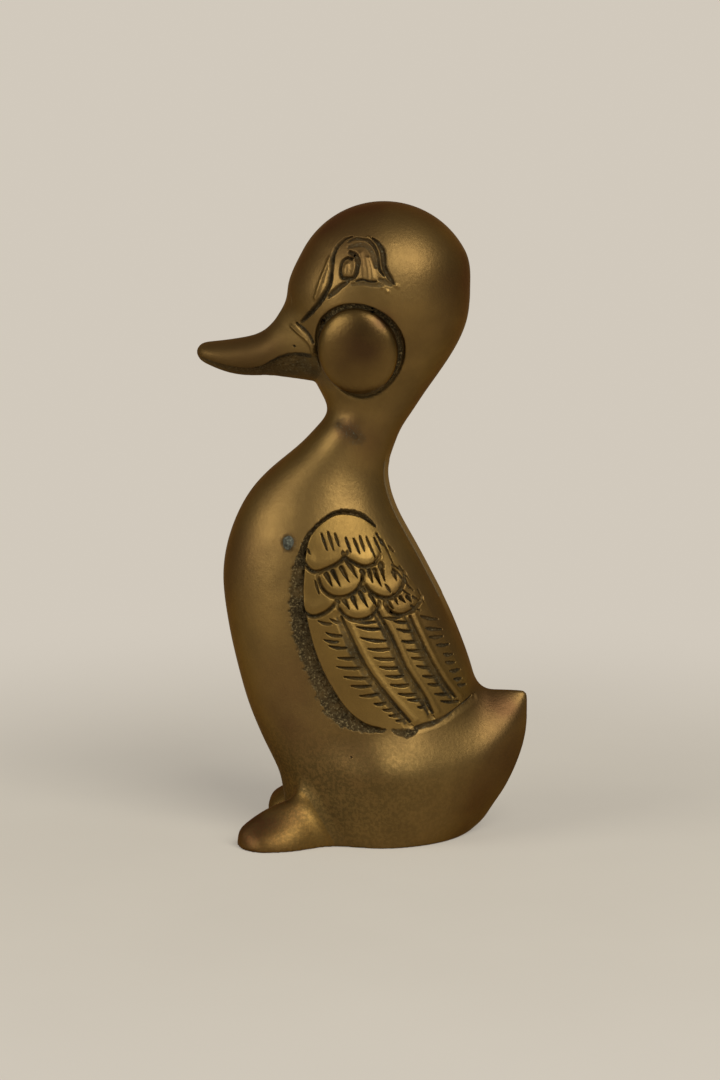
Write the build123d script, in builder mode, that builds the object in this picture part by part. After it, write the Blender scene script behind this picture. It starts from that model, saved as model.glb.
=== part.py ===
"""Brass duckling: two hollow half castings brazed on the median plane, with bill, cheeks, wings and feet set in."""
import os
from math import cos, radians, sin

from build123d import *

os.makedirs("parts", exist_ok=True)

# Millimetres. The duck faces -X, its left side is -Y, +Z is up and it stands on Z = 0.
wall = 3.5
head_wall = 9.0
floor_thickness = 3.0
braze_thickness = 0.3

# Egg-shaped head: centre, length along X, width along Y and rise of the crown above the centre.
head_x = 3.8
head_z = 128.8
head_length = 42.8
head_width = 39.0
head_rise = 21.28

# Level sections from the sole to the cheeks: height, front, back, half width.
base_section = (0.0, -18.0, 24.5, 18.8)
skirt_section = (5.5, -18.7, 26.4, 20.7)
hip_section = (13.0, -19.9, 27.9, 22.2)
rump_section = (21.0, -23.2, 28.6, 22.6)
belly_section = (32.0, -27.7, 27.8, 21.1)
flank_section = (46.0, -31.3, 24.2, 20.2)
chest_section = (62.0, -33.3, 16.8, 18.8)
shoulder_section = (76.0, -29.9, 9.2, 15.5)
neck_root_section = (87.0, -22.0, 6.0, 11.6)
neck_section = (95.0, -12.9, 8.4, 9.9)
throat_section = (101.0, -8.6, 11.6, 9.6)
jaw_section = (108.0, -11.0, 16.5, 11.8)
face_section = (117.0, -15.4, 22.3, 16.4)

# Tail, cross sections along X: distance, underside, side ridge, top, half width.
rump_root = (2.0, 1.0, 18.0, 31.0, 21.5)
rump_middle = (14.0, 0.6, 20.0, 33.2, 20.6)
rump_back = (24.0, 1.0, 22.4, 34.6, 15.8)
tail_root = (31.0, 6.7, 26.0, 34.8, 9.8)
tail_middle = (35.7, 14.7, 28.8, 34.9, 5.2)
tail_end = (38.5, 22.6, 31.5, 34.8, 2.0)
tail_tip = (39.4, 30.3, 33.0, 34.5, 0.7)

# Bill cross sections along X: distance, underside, top, half width.
bill_root = (-9.0, 107.5, 125.5, 11.4)
bill_lip = (-15.0, 108.4, 125.8, 10.2)
bill_bridge = (-19.5, 108.9, 123.4, 8.8)
bill_saddle = (-23.5, 109.1, 119.6, 7.8)
bill_middle = (-29.0, 109.3, 118.0, 7.4)
bill_blade = (-34.5, 110.8, 117.3, 6.6)
bill_end = (-38.2, 112.7, 116.4, 3.8)
bill_tip = (-39.3, 113.9, 115.3, 1.2)
tang_radius = 4.0
tang_inner_x = -10.5
tang_z = 115.5
mouth_width = 0.8
mouth_depth = 0.8

# Cheek: a dome on a round seat, its axis turned towards the bill and down.
cheek_x = -0.2
cheek_z = 115.6
cheek_turn = 9.0
cheek_dip = 12.0
cheek_radius = 9.4
cheek_rim = 4.8
cheek_dome = 3.6
cheek_seat_depth = 3.8
cheek_trench = 1.7

# Wing plate and its pocket, outline points in the XZ plane.
wing_front = (-12.0, 62.0)
wing_crest = (-2.7, 78.3)
wing_shoulder = (7.5, 70.0)
wing_back = (17.4, 52.5)
wing_tip = (23.0, 35.5)
wing_under = (13.0, 29.4)
wing_heel = (2.3, 30.3)
wing_breast = (-8.4, 45.5)
wing_depth = 1.7
wing_trench = 1.6
feather_width = 0.8
feather_depth = 0.7

# Eye, carved in the head.
eye_x = -1.4
eye_z = 135.2
pupil_width = 4.2
pupil_height = 7.0
eye_line = 0.9
eye_depth = 0.8

# Foot sections along its own axis: distance, half width, height of the crest, height of the rim.
foot_x = -8.0
foot_y = -14.0
foot_splay = 20.0
foot_heel = (-4.0, 4.4, 11.4, 4.0)
foot_ankle = (3.0, 6.2, 12.2, 3.4)
foot_instep = (9.0, 7.8, 10.6, 2.8)
foot_web = (14.0, 7.5, 8.3, 2.2)
foot_toe = (18.2, 5.3, 5.6, 1.8)
foot_tip = (20.0, 2.6, 4.0, 1.6)
foot_crest = 0.3
tenon_radius = 2.0
tenon_inner = 0.5
tenon_z = 4.6

# Vent plug in the left shoulder.
plug_x = -15.7
plug_z = 71.1
plug_radius = 1.5

body_sections = [
    base_section,
    skirt_section,
    hip_section,
    rump_section,
    belly_section,
    flank_section,
    chest_section,
    shoulder_section,
    neck_root_section,
    neck_section,
    throat_section,
    jaw_section,
    face_section,
]
crown_angles = [0, 22, 42, 60, 74, 85]


def half_figure(body_inset, head_inset):
    """Left half of body, neck and head in one loft, drawn in by the given amounts."""
    head_sections = []
    for angle in crown_angles:
        share = cos(radians(angle))
        height = head_z + (head_rise - head_inset) * sin(radians(angle))
        head_sections.append((height, (head_length / 2 - head_inset) * share, (head_width / 2 - head_inset) * share))
    with BuildPart() as half:
        for height, front, back, half_width in body_sections:
            inset = head_inset if height > throat_section[0] else body_inset
            with BuildSketch(Plane.XY.offset(height)):
                with BuildLine():
                    middle = (front + back) / 2
                    reach = (back - front) / 2 - inset
                    side = EllipticalCenterArc((middle, 0), reach, half_width - inset, start_angle=180, arc_size=180)
                    Line(side @ 1, side @ 0)
                make_face()
        for height, reach, half_width in head_sections:
            with BuildSketch(Plane.XY.offset(height)):
                with BuildLine():
                    side = EllipticalCenterArc((head_x, 0), reach, half_width, start_angle=180, arc_size=180)
                    Line(side @ 1, side @ 0)
                make_face()
        loft()
    return half.part


def half_tail():
    """Left half of the pointed tail: flat roof above the side ridge, round underside below it."""
    with BuildPart() as half:
        for distance, underside, ridge, top, half_width in [
            rump_root,
            rump_middle,
            rump_back,
            tail_root,
            tail_middle,
            tail_end,
            tail_tip,
        ]:
            with BuildSketch(Plane.YZ.offset(distance)):
                with BuildLine():
                    belly = EllipticalCenterArc((0, ridge), half_width, ridge - underside, start_angle=180, arc_size=90)
                    Line(belly @ 1, (0, top))
                    Line((0, top), belly @ 0)
                make_face()
        loft()
    return half.part


def bill_form(inset):
    """Flat rounded bill, drawn in by the given amount."""
    with BuildPart() as form:
        for distance, underside, top, half_width in [
            bill_root,
            bill_lip,
            bill_bridge,
            bill_saddle,
            bill_middle,
            bill_blade,
            bill_end,
            bill_tip,
        ]:
            with BuildSketch(Plane.YZ.offset(distance)):
                with Locations((0, (underside + top) / 2)):
                    Ellipse(max(half_width - inset, 0.3), max((top - underside) / 2 - inset, 0.3))
        loft()
    return form.part


def wing_prism(trench):
    """Prism through the left side on the wing outline, its front edge moved out by the trench."""
    front = (wing_front[0] - trench, wing_front[1])
    breast = (wing_breast[0] - trench, wing_breast[1])
    crest = (wing_crest[0] - trench / 2, wing_crest[1] + trench / 4)
    with BuildPart() as prism:
        with BuildSketch(Plane.XZ):
            with BuildLine():
                ThreePointArc(front, crest, wing_shoulder)
                ThreePointArc(wing_shoulder, wing_back, wing_tip)
                ThreePointArc(wing_tip, wing_under, wing_heel)
                ThreePointArc(wing_heel, breast, front)
            make_face()
        extrude(amount=head_width)
    return prism.part


def cheek_disc(radius, rim, dome):
    """Round seat with a domed end, on the left cheek axis."""
    level = (cheek_z - throat_section[0]) / (head_z - throat_section[0])
    side = throat_section[3] + (head_width / 2 - throat_section[3]) * level
    outward = Vector(-sin(radians(cheek_turn)), -cos(radians(cheek_turn)), -sin(radians(cheek_dip))).normalized()
    seat = Vector(cheek_x, -side, cheek_z) - outward * cheek_seat_depth
    across = outward.cross(Vector(0, 0, 1)).normalized()
    with BuildPart() as disc:
        with BuildSketch(Plane(origin=seat, x_dir=across, z_dir=across.cross(outward))):
            with BuildLine():
                cap = TangentArc((0, rim + dome), (radius, rim), tangent=(1, 0))
                Polyline(cap @ 1, (radius, 0), (0, 0), cap @ 0)
            make_face()
        revolve(axis=Axis(seat, outward))
    return disc.part


outer = half_figure(0, 0)
tail = half_tail()
core = half_figure(wall, head_wall)
wing_floor = half_figure(wing_depth, wing_depth)
bill_blank = bill_form(0)
cheek_blank = cheek_disc(cheek_radius, cheek_rim, cheek_dome)
cheek_seat = cheek_disc(cheek_radius + cheek_trench, cheek_seat_depth + cheek_dome, cheek_dome)

# Left casting, still reaching the median plane.
with BuildPart() as eye_lines:
    with BuildSketch(Plane.XZ):
        with BuildLine() as brow:
            Spline(
                (eye_x - 8.6, eye_z - 9.6),
                (eye_x - 3.6, eye_z - 1.0),
                (eye_x + 1.8, eye_z + 7.0),
                (eye_x + 7.4, eye_z + 2.8),
                (eye_x + 9.9, eye_z - 4.0),
            )
        trace(line_width=eye_line)
        with Locations((eye_x, eye_z)):
            Ellipse(pupil_width / 2, pupil_height / 2)
            Ellipse(pupil_width / 2 - eye_line, pupil_height / 2 - eye_line, mode=Mode.SUBTRACT)
    extrude(amount=head_width)
    add(half_figure(eye_depth, eye_depth), mode=Mode.SUBTRACT)

with BuildPart() as tang:
    with BuildSketch(Plane.YZ.offset(bill_saddle[0])):
        with Locations((0, tang_z)):
            Circle(tang_radius)
    extrude(amount=tang_inner_x - bill_saddle[0])

splay = radians(foot_splay)
foot_plane = Plane(origin=(foot_x, foot_y, 0), x_dir=(sin(splay), -cos(splay), 0), z_dir=(-cos(splay), -sin(splay), 0))
with BuildPart() as tenon:
    with BuildSketch(foot_plane.offset(tenon_inner)):
        with Locations((0, tenon_z)):
            Circle(tenon_radius)
    extrude(amount=foot_instep[0] - tenon_inner)

with BuildPart() as casting:
    add(outer)
    add(wing_prism(wing_trench) + wing_prism(0) - wing_floor, mode=Mode.SUBTRACT)
    add(tail)
    split(bisect_by=Plane.XY)
    add(split(core, bisect_by=Plane.XY.offset(floor_thickness), mode=Mode.PRIVATE), mode=Mode.SUBTRACT)
    add(cheek_seat, mode=Mode.SUBTRACT)
    add(eye_lines.part, mode=Mode.SUBTRACT)
    add(tang.part, mode=Mode.SUBTRACT)
    add(tenon.part, mode=Mode.SUBTRACT)

with BuildPart() as braze_seam:
    add(casting.part)
    split(bisect_by=Plane.XZ.offset(braze_thickness / 2), keep=Keep.BOTTOM)
    mirror(about=Plane.XZ)
braze_seam.part.label = "braze_seam"
export_step(braze_seam.part, "parts/braze_seam.step")

with BuildPart() as right_body_half:
    add(casting.part)
    split(bisect_by=Plane.XZ.offset(braze_thickness / 2))
    mirror(about=Plane.XZ, mode=Mode.REPLACE)
right_body_half.part.label = "right_body_half"
export_step(right_body_half.part, "parts/right_body_half.step")

# Vent plug through the wall of the left shoulder, dressed flush.
with BuildPart() as vent_plug:
    with BuildSketch(Plane.XZ):
        with Locations((plug_x, plug_z)):
            Circle(plug_radius)
    extrude(amount=head_width)
    add(casting.part, mode=Mode.INTERSECT)
vent_plug.part.label = "vent_plug"
export_step(vent_plug.part, "parts/vent_plug.step")

with BuildPart() as left_body_half:
    add(casting.part)
    split(bisect_by=Plane.XZ.offset(braze_thickness / 2))
    add(vent_plug.part, mode=Mode.SUBTRACT)
left_body_half.part.label = "left_body_half"
export_step(left_body_half.part, "parts/left_body_half.step")

with BuildPart() as bill:
    add(bill_blank)
    with BuildSketch(Plane.XZ):
        with BuildLine():
            Spline(
                (bill_tip[0], bill_tip[1] - 1.0),
                (bill_middle[0], bill_middle[1] + 1.6),
                (bill_bridge[0], bill_bridge[1] + 4.4),
                (bill_root[0], bill_root[1] + 6.4),
            )
        trace(line_width=mouth_width)
    mouth = extrude(amount=head_width, both=True, mode=Mode.PRIVATE)
    add(mouth - bill_form(mouth_depth), mode=Mode.SUBTRACT)
    add(outer, mode=Mode.SUBTRACT)
    add(cheek_seat, mode=Mode.SUBTRACT)
    add(outer.mirror(Plane.XZ), mode=Mode.SUBTRACT)
    add(cheek_seat.mirror(Plane.XZ), mode=Mode.SUBTRACT)
    add(tang.part)
bill.part.label = "bill"
export_step(bill.part, "parts/bill.step")

with BuildPart() as left_cheek:
    add(cheek_blank)
left_cheek.part.label = "left_cheek"
export_step(left_cheek.part, "parts/left_cheek.step")

with BuildPart() as right_cheek:
    add(left_cheek.part)
    mirror(about=Plane.XZ, mode=Mode.REPLACE)
right_cheek.part.label = "right_cheek"
export_step(right_cheek.part, "parts/right_cheek.step")

# Wing plate between the outer skin and the pocket floor, with feather lines cut in it.
with BuildPart() as feather_lines:
    with BuildSketch(Plane.XZ):
        with BuildLine():
            ThreePointArc((-11.8, 67.5), (-8.0, 65.2), (-2.3, 68.7))
            ThreePointArc((-2.3, 68.7), (1.8, 66.4), (6.0, 67.4))
            ThreePointArc((-7.4, 63.9), (-2.5, 59.6), (1.7, 63.3))
            ThreePointArc((2.7, 62.2), (7.0, 59.0), (11.2, 61.5))
            ThreePointArc((-11.2, 56.0), (-8.9, 54.5), (-4.1, 58.2))
            ThreePointArc((-3.1, 57.1), (0.4, 54.4), (5.0, 56.5))
            ThreePointArc((5.9, 56.9), (10.4, 54.8), (14.3, 56.7))
            ThreePointArc((-1.9, 54.4), (4.4, 41.5), (13.2, 31.5))
            ThreePointArc((6.9, 55.0), (11.4, 43.0), (18.0, 33.0))
            ThreePointArc((13.7, 54.0), (17.8, 44.0), (22.0, 37.0))
        trace(line_width=feather_width)
    extrude(amount=head_width)
    add(half_figure(feather_depth, feather_depth), mode=Mode.SUBTRACT)

with BuildPart() as left_wing:
    add(wing_prism(0))
    add(outer, mode=Mode.INTERSECT)
    add(wing_floor, mode=Mode.SUBTRACT)
    add(tail, mode=Mode.SUBTRACT)
    add(feather_lines.part, mode=Mode.SUBTRACT)
left_wing.part.label = "left_wing"
export_step(left_wing.part, "parts/left_wing.step")

with BuildPart() as right_wing:
    add(left_wing.part)
    mirror(about=Plane.XZ, mode=Mode.REPLACE)
right_wing.part.label = "right_wing"
export_step(right_wing.part, "parts/right_wing.step")

# Foot: flat underneath, with an upright rim and a sloping top that meets in a soft crest, on a round tenon.
with BuildPart() as left_foot:
    for distance, half_width, height, rim in [foot_heel, foot_ankle, foot_instep, foot_web, foot_toe, foot_tip]:
        with BuildSketch(foot_plane.offset(distance)):
            with BuildLine():
                pull_x, pull_z = foot_crest * half_width, (4 * height - rim) / 3
                top = Bezier((half_width, rim), (pull_x, pull_z), (-pull_x, pull_z), (-half_width, rim))
                Polyline(top @ 1, (-half_width, 0), (half_width, 0), top @ 0)
            make_face()
    loft()
    add(outer, mode=Mode.SUBTRACT)
    add(tenon.part)
left_foot.part.label = "left_foot"
export_step(left_foot.part, "parts/left_foot.step")

with BuildPart() as right_foot:
    add(left_foot.part)
    mirror(about=Plane.XZ, mode=Mode.REPLACE)
right_foot.part.label = "right_foot"
export_step(right_foot.part, "parts/right_foot.step")
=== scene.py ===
"""Brass duckling: a sculpted skin for each CAD node, tarnished brass, studio floor and camera."""
import math

import bpy
import numpy as np
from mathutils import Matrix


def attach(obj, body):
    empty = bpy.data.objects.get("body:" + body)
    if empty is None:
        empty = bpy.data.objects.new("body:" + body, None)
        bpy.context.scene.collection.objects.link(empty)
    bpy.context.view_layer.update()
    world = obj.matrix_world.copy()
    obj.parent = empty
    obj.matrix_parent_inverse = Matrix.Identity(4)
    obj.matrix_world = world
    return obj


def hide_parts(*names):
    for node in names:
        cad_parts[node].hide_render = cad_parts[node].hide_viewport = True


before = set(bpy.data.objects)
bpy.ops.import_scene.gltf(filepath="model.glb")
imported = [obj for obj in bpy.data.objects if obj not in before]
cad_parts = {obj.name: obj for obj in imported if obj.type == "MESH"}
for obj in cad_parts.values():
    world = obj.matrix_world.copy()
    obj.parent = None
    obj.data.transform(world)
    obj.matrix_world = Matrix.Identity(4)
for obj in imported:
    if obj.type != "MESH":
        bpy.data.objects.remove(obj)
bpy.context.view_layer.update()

import openvdb
from mathutils import Matrix, Vector

# The form is worked out in millimetres and turned into metres where the meshes are made.
MM = 0.001
GRID_STEP = 0.6
SEAM = 0.15
ON_MEDIAN = 1e-6
TINY = 1e-9


def facing(turn, rise):
    """Axes of what faces the duck's left side, turned and tilted: outwards, to its right and up."""
    out = np.array([math.sin(turn) * math.cos(rise), -math.cos(turn) * math.cos(rise), math.sin(rise)])
    side = np.array([math.cos(turn), math.sin(turn), 0.0])
    return out, side, np.cross(out, side)


# Camera of the photograph, in millimetres and in pixels of its 720 x 1080 frame.
FRAME_W, FRAME_H = 720, 1080
AZIMUTH, ELEVATION, DISTANCE = math.radians(6.0), math.radians(8.0), 620.0
FOCAL = 2610.47
TARGET = np.array([-0.606, 0.0, 70.146])
BACK, RIGHT, UP = facing(AZIMUTH, ELEVATION)
CAMERA_AT = TARGET + BACK * DISTANCE
# Size of one pixel at the duck, in millimetres.
PX = 1 / 4.33


# Form of the duck: distance fields in millimetres


def curve_through(points):
    """Natural cubic spline through (position, value) points, held level beyond both ends."""
    x, y = np.array(points, float).T
    n = len(x)
    gap = np.diff(x)
    system, load = np.eye(n), np.zeros(n)
    for i in range(1, n - 1):
        system[i, i - 1 : i + 2] = gap[i - 1], 2 * (gap[i - 1] + gap[i]), gap[i]
        load[i] = 6 * ((y[i + 1] - y[i]) / gap[i] - (y[i] - y[i - 1]) / gap[i - 1])
    bend = np.linalg.solve(system, load)

    def value(q):
        q = np.clip(q, x[0], x[-1])
        i = np.clip(np.searchsorted(x, q) - 1, 0, n - 2)
        h = gap[i]
        a, b = (x[i + 1] - q) / h, (q - x[i]) / h
        return a * y[i] + b * y[i + 1] + ((a**3 - a) * bend[i] + (b**3 - b) * bend[i + 1]) * h * h / 6

    return value


def columns(rows, column):
    """One column of a table as a curve along the table's first column."""
    return curve_through([(row[0], row[column]) for row in rows])


# Level sections of body, neck and head: height, front, back, half width.
BODY = [
    (0, -17.6, 24.2, 18.6), (5, -18.4, 26.4, 20.4), (10, -19.1, 27.4, 21.3), (14, -19.9, 28.0, 21.6),
    (18, -21.6, 28.5, 21.6), (22, -23.6, 28.6, 21.3), (26, -25.4, 28.5, 21.0), (30, -27.0, 28.0, 20.7),
    (38, -29.4, 26.6, 20.3), (46, -31.3, 24.0, 20.0), (54, -32.7, 20.7, 19.5), (62, -33.3, 16.7, 18.6),
    (70, -32.1, 12.4, 17.2), (77, -29.5, 8.6, 15.1), (83, -25.8, 6.5, 13.0), (88, -20.9, 6.1, 11.4),
    (93, -14.9, 7.5, 10.3), (97, -11.0, 9.2, 9.8), (100.6, -8.5, 11.5, 9.7), (105, -9.6, 14.4, 10.8),
    (110, -12.3, 17.9, 13.0), (117, -15.6, 22.3, 16.4), (123, -17.1, 24.6, 18.5),
    (128.8, -17.6, 25.2, 19.5),
]
HEAD_X, HEAD_Z = 3.8, 128.8
HEAD_SIZE = np.array([21.4, 19.5, 21.2])
HEAD_LEAN, HEAD_LEAN_RISE = 1.2, 10
# Rump and tail: reach of the back edge and half width by height, then the side ridge and top along X.
TAIL_PLAN = [
    (0, 25.2, 18.2), (2, 27.9, 19.0), (6, 31.0, 20.7), (10, 33.6, 22.2), (14, 35.7, 23.3),
    (17.9, 37.3, 24.0), (21.8, 38.5, 24.0), (25.7, 39.2, 23.1), (29.6, 39.4, 21.3), (33.5, 39.4, 19.2),
    (36, 39.4, 18.0),
]
TAIL_ROOF = [
    (2, 24.0, 31.0, 21.5), (14, 24.2, 33.2, 19.8), (24, 23.6, 34.6, 14.4), (31, 26.0, 34.8, 8.8),
    (35.7, 28.8, 34.8, 4.8), (38.5, 31.5, 34.7, 2.0), (39.4, 33.0, 34.6, 0.9),
]
TAIL_ROOT, RUMP_FRONT = 7.0, 22.0
# Powers of the plan behind and in front of the tail's root and across it, and of the roof's fall.
TAIL_POWER, RUMP_POWER, SIDE_POWER, ROOF_POWER = 1.6, 2.0, 1.258, 0.35
ROOF_SPAN, LEAST_SLOPE = 1.6, 0.004
# Rounding of the roof's edge, at the tip of the tail and what the rump has more, and where it changes.
TAIL_EDGE, RUMP_EDGE, TAIL_EDGE_AT, RUMP_EDGE_AT = 0.9, 6.0, 38.0, 18.0
# Bill along X: distance, underside, top, half width.
BILL = [
    (-39.3, 113.7, 115.6, 1.5), (-38.2, 112.6, 116.5, 3.9), (-36.5, 111.6, 117.0, 5.6),
    (-33, 110.2, 117.4, 6.9), (-29, 109.3, 118.0, 7.4), (-25, 109.1, 119.0, 7.6),
    (-22, 109.1, 120.9, 8.1), (-18.5, 108.8, 124.6, 9.1), (-15, 108.4, 125.8, 10.2),
    (-9, 107.5, 125.5, 11.4),
]
# Foot along its own axis: distance, half width, height of the ridge, height of the rim.
FOOT = [
    (-4, 4.2, 10.8, 4.0), (3, 5.8, 11.6, 3.4), (9, 7.6, 10.4, 2.8), (14, 7.6, 8.3, 2.2),
    (18.2, 5.6, 5.6, 1.8), (20, 3.2, 4.2, 1.6),
]
FOOT_ROOT, FOOT_SPLAY = (-8.0, -14.0), math.radians(20.0)
FOOT_CREST = 3.0
FOOT_HEEL, FOOT_TOE = FOOT[0][0], 20.2
BILL_TIP, BILL_ROOT = BILL[0][0], BILL[-1][0]
CHEEK = np.array([0.55, -16.6, 116.0])
CHEEK_SIZE = (9.35, 10.15)
CHEEK_DOME, CHEEK_ROOT = 3.8, 8.5
CHEEK_SEAT = np.array([0.4, -15.8, 115.25])
CHEEK_SEAT_SIZE = np.array([11.2, 12.1, 9.0])
CHEEK_SEAT_DEPTH = 1.1
CHEEK_TURN, CHEEK_DIP = math.radians(9.0), math.radians(10.5)
CHEEK_OUT, CHEEK_SIDE, CHEEK_UP = facing(-CHEEK_TURN, -CHEEK_DIP)
# How softly one form runs into another.
TAIL_BLEND, FOOT_BLEND, CHEEK_BLEND = 4.0, 4.0, 0.5
BILL_SIDE_BLEND, BILL_TOP_BLEND, BILL_SIDE_Z, BILL_TOP_Z = 0.7, 4.0, 117.5, 124.0
BILL_TIP_ROUND, FOOT_RIM_ROUND, TOE_ROUND, SEAT_ROUND, SOLE_ROUND = 1.0, 2.0, 1.6, 0.7, 0.5

BODY_FRONT, BODY_BACK, BODY_HALF = (columns(BODY, i) for i in (1, 2, 3))
TAIL_REACH, TAIL_WIDE = (columns(TAIL_PLAN, i) for i in (1, 2))
TAIL_RIDGE, TAIL_TOP, TAIL_HALF = (columns(TAIL_ROOF, i) for i in (1, 2, 3))
BILL_LOW, BILL_TOP, BILL_HALF = (columns(BILL, i) for i in (1, 2, 3))
FOOT_HALF, FOOT_HIGH, FOOT_RIM = (columns(FOOT, i) for i in (1, 2, 3))


def soft_min(a, b, k):
    h = np.clip(0.5 + 0.5 * (b - a) / k, 0, 1)
    return b * (1 - h) + a * h - k * h * (1 - h)


def soft_max(a, b, k):
    return -soft_min(-a, -b, k)


def oval(u, v, a, b):
    """About the distance from an ellipse with half axes a and b."""
    k = np.sqrt((u / a) ** 2 + (v / b) ** 2)
    slope = np.sqrt((u / a**2) ** 2 + (v / b**2) ** 2) + 1e-6
    return k * (k - 1) / slope


def smooth_step(low, high, q):
    t = np.clip((q - low) / (high - low), 0, 1)
    return t * t * (3 - 2 * t)


def tail_field(p):
    """Rump and tail: an egg-shaped plan at each height under a roof that falls to a side ridge."""
    x, y, z = p[:, 0], np.abs(p[:, 1]), p[:, 2]
    behind = x > TAIL_ROOT
    reach = np.where(behind, TAIL_REACH(z) - TAIL_ROOT, RUMP_FRONT)
    wide, bend = TAIL_WIDE(z), np.where(behind, TAIL_POWER, RUMP_POWER)
    t, s = np.abs(x - TAIL_ROOT) / reach, y / wide
    across = SIDE_POWER * s ** (SIDE_POWER - 1) / wide
    slope = np.hypot(bend * t ** (bend - 1) / reach, across) + LEAST_SLOPE
    plan = (t**bend + s**SIDE_POWER - 1) / slope
    ridge, top, half = TAIL_RIDGE(x), TAIL_TOP(x), TAIL_HALF(x)
    fall = (top - ridge) / half
    roof = (z - top + fall * y * np.minimum(y / half, ROOF_SPAN) ** ROOF_POWER) / np.sqrt(1 + fall**2)
    round_off = TAIL_EDGE + RUMP_EDGE * smooth_step(TAIL_EDGE_AT, RUMP_EDGE_AT, x)
    return soft_max(plan, roof, round_off)


def ellipsoid(q, size):
    """About the distance from an ellipsoid round the origin with the given half axes."""
    scaled = q / size
    k = np.linalg.norm(scaled, axis=1)
    return k * (k - 1) / (np.linalg.norm(scaled / size, axis=1) + 1e-6)


def head_field(p):
    """The egg-shaped top of the head, which leans back a little."""
    z = p[:, 2]
    lean = HEAD_X + HEAD_LEAN * smooth_step(HEAD_Z, HEAD_Z + HEAD_LEAN_RISE, z)
    return ellipsoid(np.c_[p[:, 0] - lean, p[:, 1], z - HEAD_Z], HEAD_SIZE)


def torso_field(p):
    x, y, z = p[:, 0], p[:, 1], p[:, 2]
    front, back, half = BODY_FRONT(z), BODY_BACK(z), BODY_HALF(z)
    stack = oval(x - (front + back) / 2, y, (back - front) / 2, half)
    body = np.minimum(np.maximum(stack, z - HEAD_Z), head_field(p))
    return soft_min(body, tail_field(p), TAIL_BLEND)


def bill_field(p):
    x, y, z = p[:, 0], p[:, 1], p[:, 2]
    low, top, half = BILL_LOW(x), BILL_TOP(x), BILL_HALF(x)
    form = oval(y, z - (low + top) / 2, half, (top - low) / 2)
    return np.maximum(soft_max(form, BILL_TIP - x, BILL_TIP_ROUND), x - BILL_ROOT)


def foot_field(p):
    x, y, z = p[:, 0] - FOOT_ROOT[0], -np.abs(p[:, 1]) - FOOT_ROOT[1], p[:, 2]
    along = -x * math.cos(FOOT_SPLAY) - y * math.sin(FOOT_SPLAY)
    across = x * math.sin(FOOT_SPLAY) - y * math.cos(FOOT_SPLAY)
    half, rim = FOOT_HALF(along), FOOT_RIM(along)
    rise = FOOT_HIGH(along) - rim
    lean = half * (np.hypot(across, FOOT_CREST) - FOOT_CREST) / (np.hypot(half, FOOT_CREST) - FOOT_CREST)
    roof = ((z - rim) * half + (lean - half) * rise) / np.hypot(half, rise)
    form = soft_max(roof, np.abs(across) - half, FOOT_RIM_ROUND)
    return np.maximum(soft_max(form, along - FOOT_TOE, TOE_ROUND), FOOT_HEEL - along)


def from_cheek(p, center):
    """Points as seen from the left cheek, with the right side folded over."""
    return np.c_[p[:, 0], -np.abs(p[:, 1]), p[:, 2]] - center


def dome(p, center, size):
    """An ellipsoid set along the cheek's own axes: to the side, up and outwards."""
    q = from_cheek(p, center)
    return ellipsoid(np.c_[q @ CHEEK_SIDE, q @ CHEEK_UP, q @ CHEEK_OUT], np.array(size))


def cheek_field(p):
    """A round button: a shallow dome in front of its widest line and a deeper root behind it."""
    front, root = (dome(p, CHEEK, (*CHEEK_SIZE, deep)) for deep in (CHEEK_DOME, CHEEK_ROOT))
    return np.where(from_cheek(p, CHEEK) @ CHEEK_OUT > 0, front, root)


def bill_blend(p):
    """The bill runs smoothly into the forehead and meets the face with a crease at its sides."""
    return BILL_SIDE_BLEND + BILL_TOP_BLEND * smooth_step(BILL_SIDE_Z, BILL_TOP_Z, p[:, 2])


def face_field(p):
    """Body, head and bill, with the sunk seat round each cheek."""
    form = soft_min(torso_field(p), bill_field(p), bill_blend(p))
    seat = np.maximum(dome(p, CHEEK_SEAT, CHEEK_SEAT_SIZE), -(form + CHEEK_SEAT_DEPTH))
    return soft_max(form, -seat, SEAT_ROUND)


def whole_field(p):
    """The whole duck, flat underneath."""
    form = soft_min(face_field(p), foot_field(p), FOOT_BLEND)
    form = soft_min(form, cheek_field(p), CHEEK_BLEND)
    return soft_max(form, -p[:, 2], SOLE_ROUND)


def slope_of(p, h=0.04):
    """Direction in which the whole form's field rises."""
    parts = []
    for axis in range(3):
        shift = np.zeros(3)
        shift[axis] = h
        parts.append((whole_field(p + shift) - whole_field(p - shift)) / (2 * h))
    return np.stack(parts, axis=1)


def settle(p, rounds=3):
    """Moves points onto the surface of the whole form."""
    for _ in range(rounds):
        g = slope_of(p)
        p = p - g * (whole_field(p) / np.maximum((g * g).sum(axis=1), 0.05))[:, None]
    return p


# Triangle meshes as arrays

SKIN_LOW, SKIN_HIGH = np.array([-42.0, -29.0, -2.4]), np.array([42.6, 3.6, 153.0])
FIELD_BAND = 3.0
WELD_GAP = 1e-4
# Columns of the skin's data. The plain ones are from before the hand-cut detail.
POINT, NORMAL, PLAIN_NORMAL, PLAIN = slice(0, 3), slice(3, 6), slice(7, 10), slice(10, 13)
Y, Z, NORMAL_Y = 1, 2, 4
# Layers on the skin: grime, which also holds painted shade on the button's lower flank; brown, which is
# tarnish with some spots of painted shade; crust; and the band along the back that is painted lighter as a
# sheen.
LAYERS = {"grime": 6, "brown": 13, "crust": 14, "dressed_sheen": 15}


def unit(vectors):
    return vectors / np.linalg.norm(vectors, axis=1)[:, None]


def face_normals(points, tris):
    a, b, c = (points[tris[:, i]] for i in range(3))
    return np.cross(b - a, c - a)


def edges_of(tris):
    return np.concatenate([tris[:, [0, 1]], tris[:, [1, 2]], tris[:, [2, 0]]])


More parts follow.
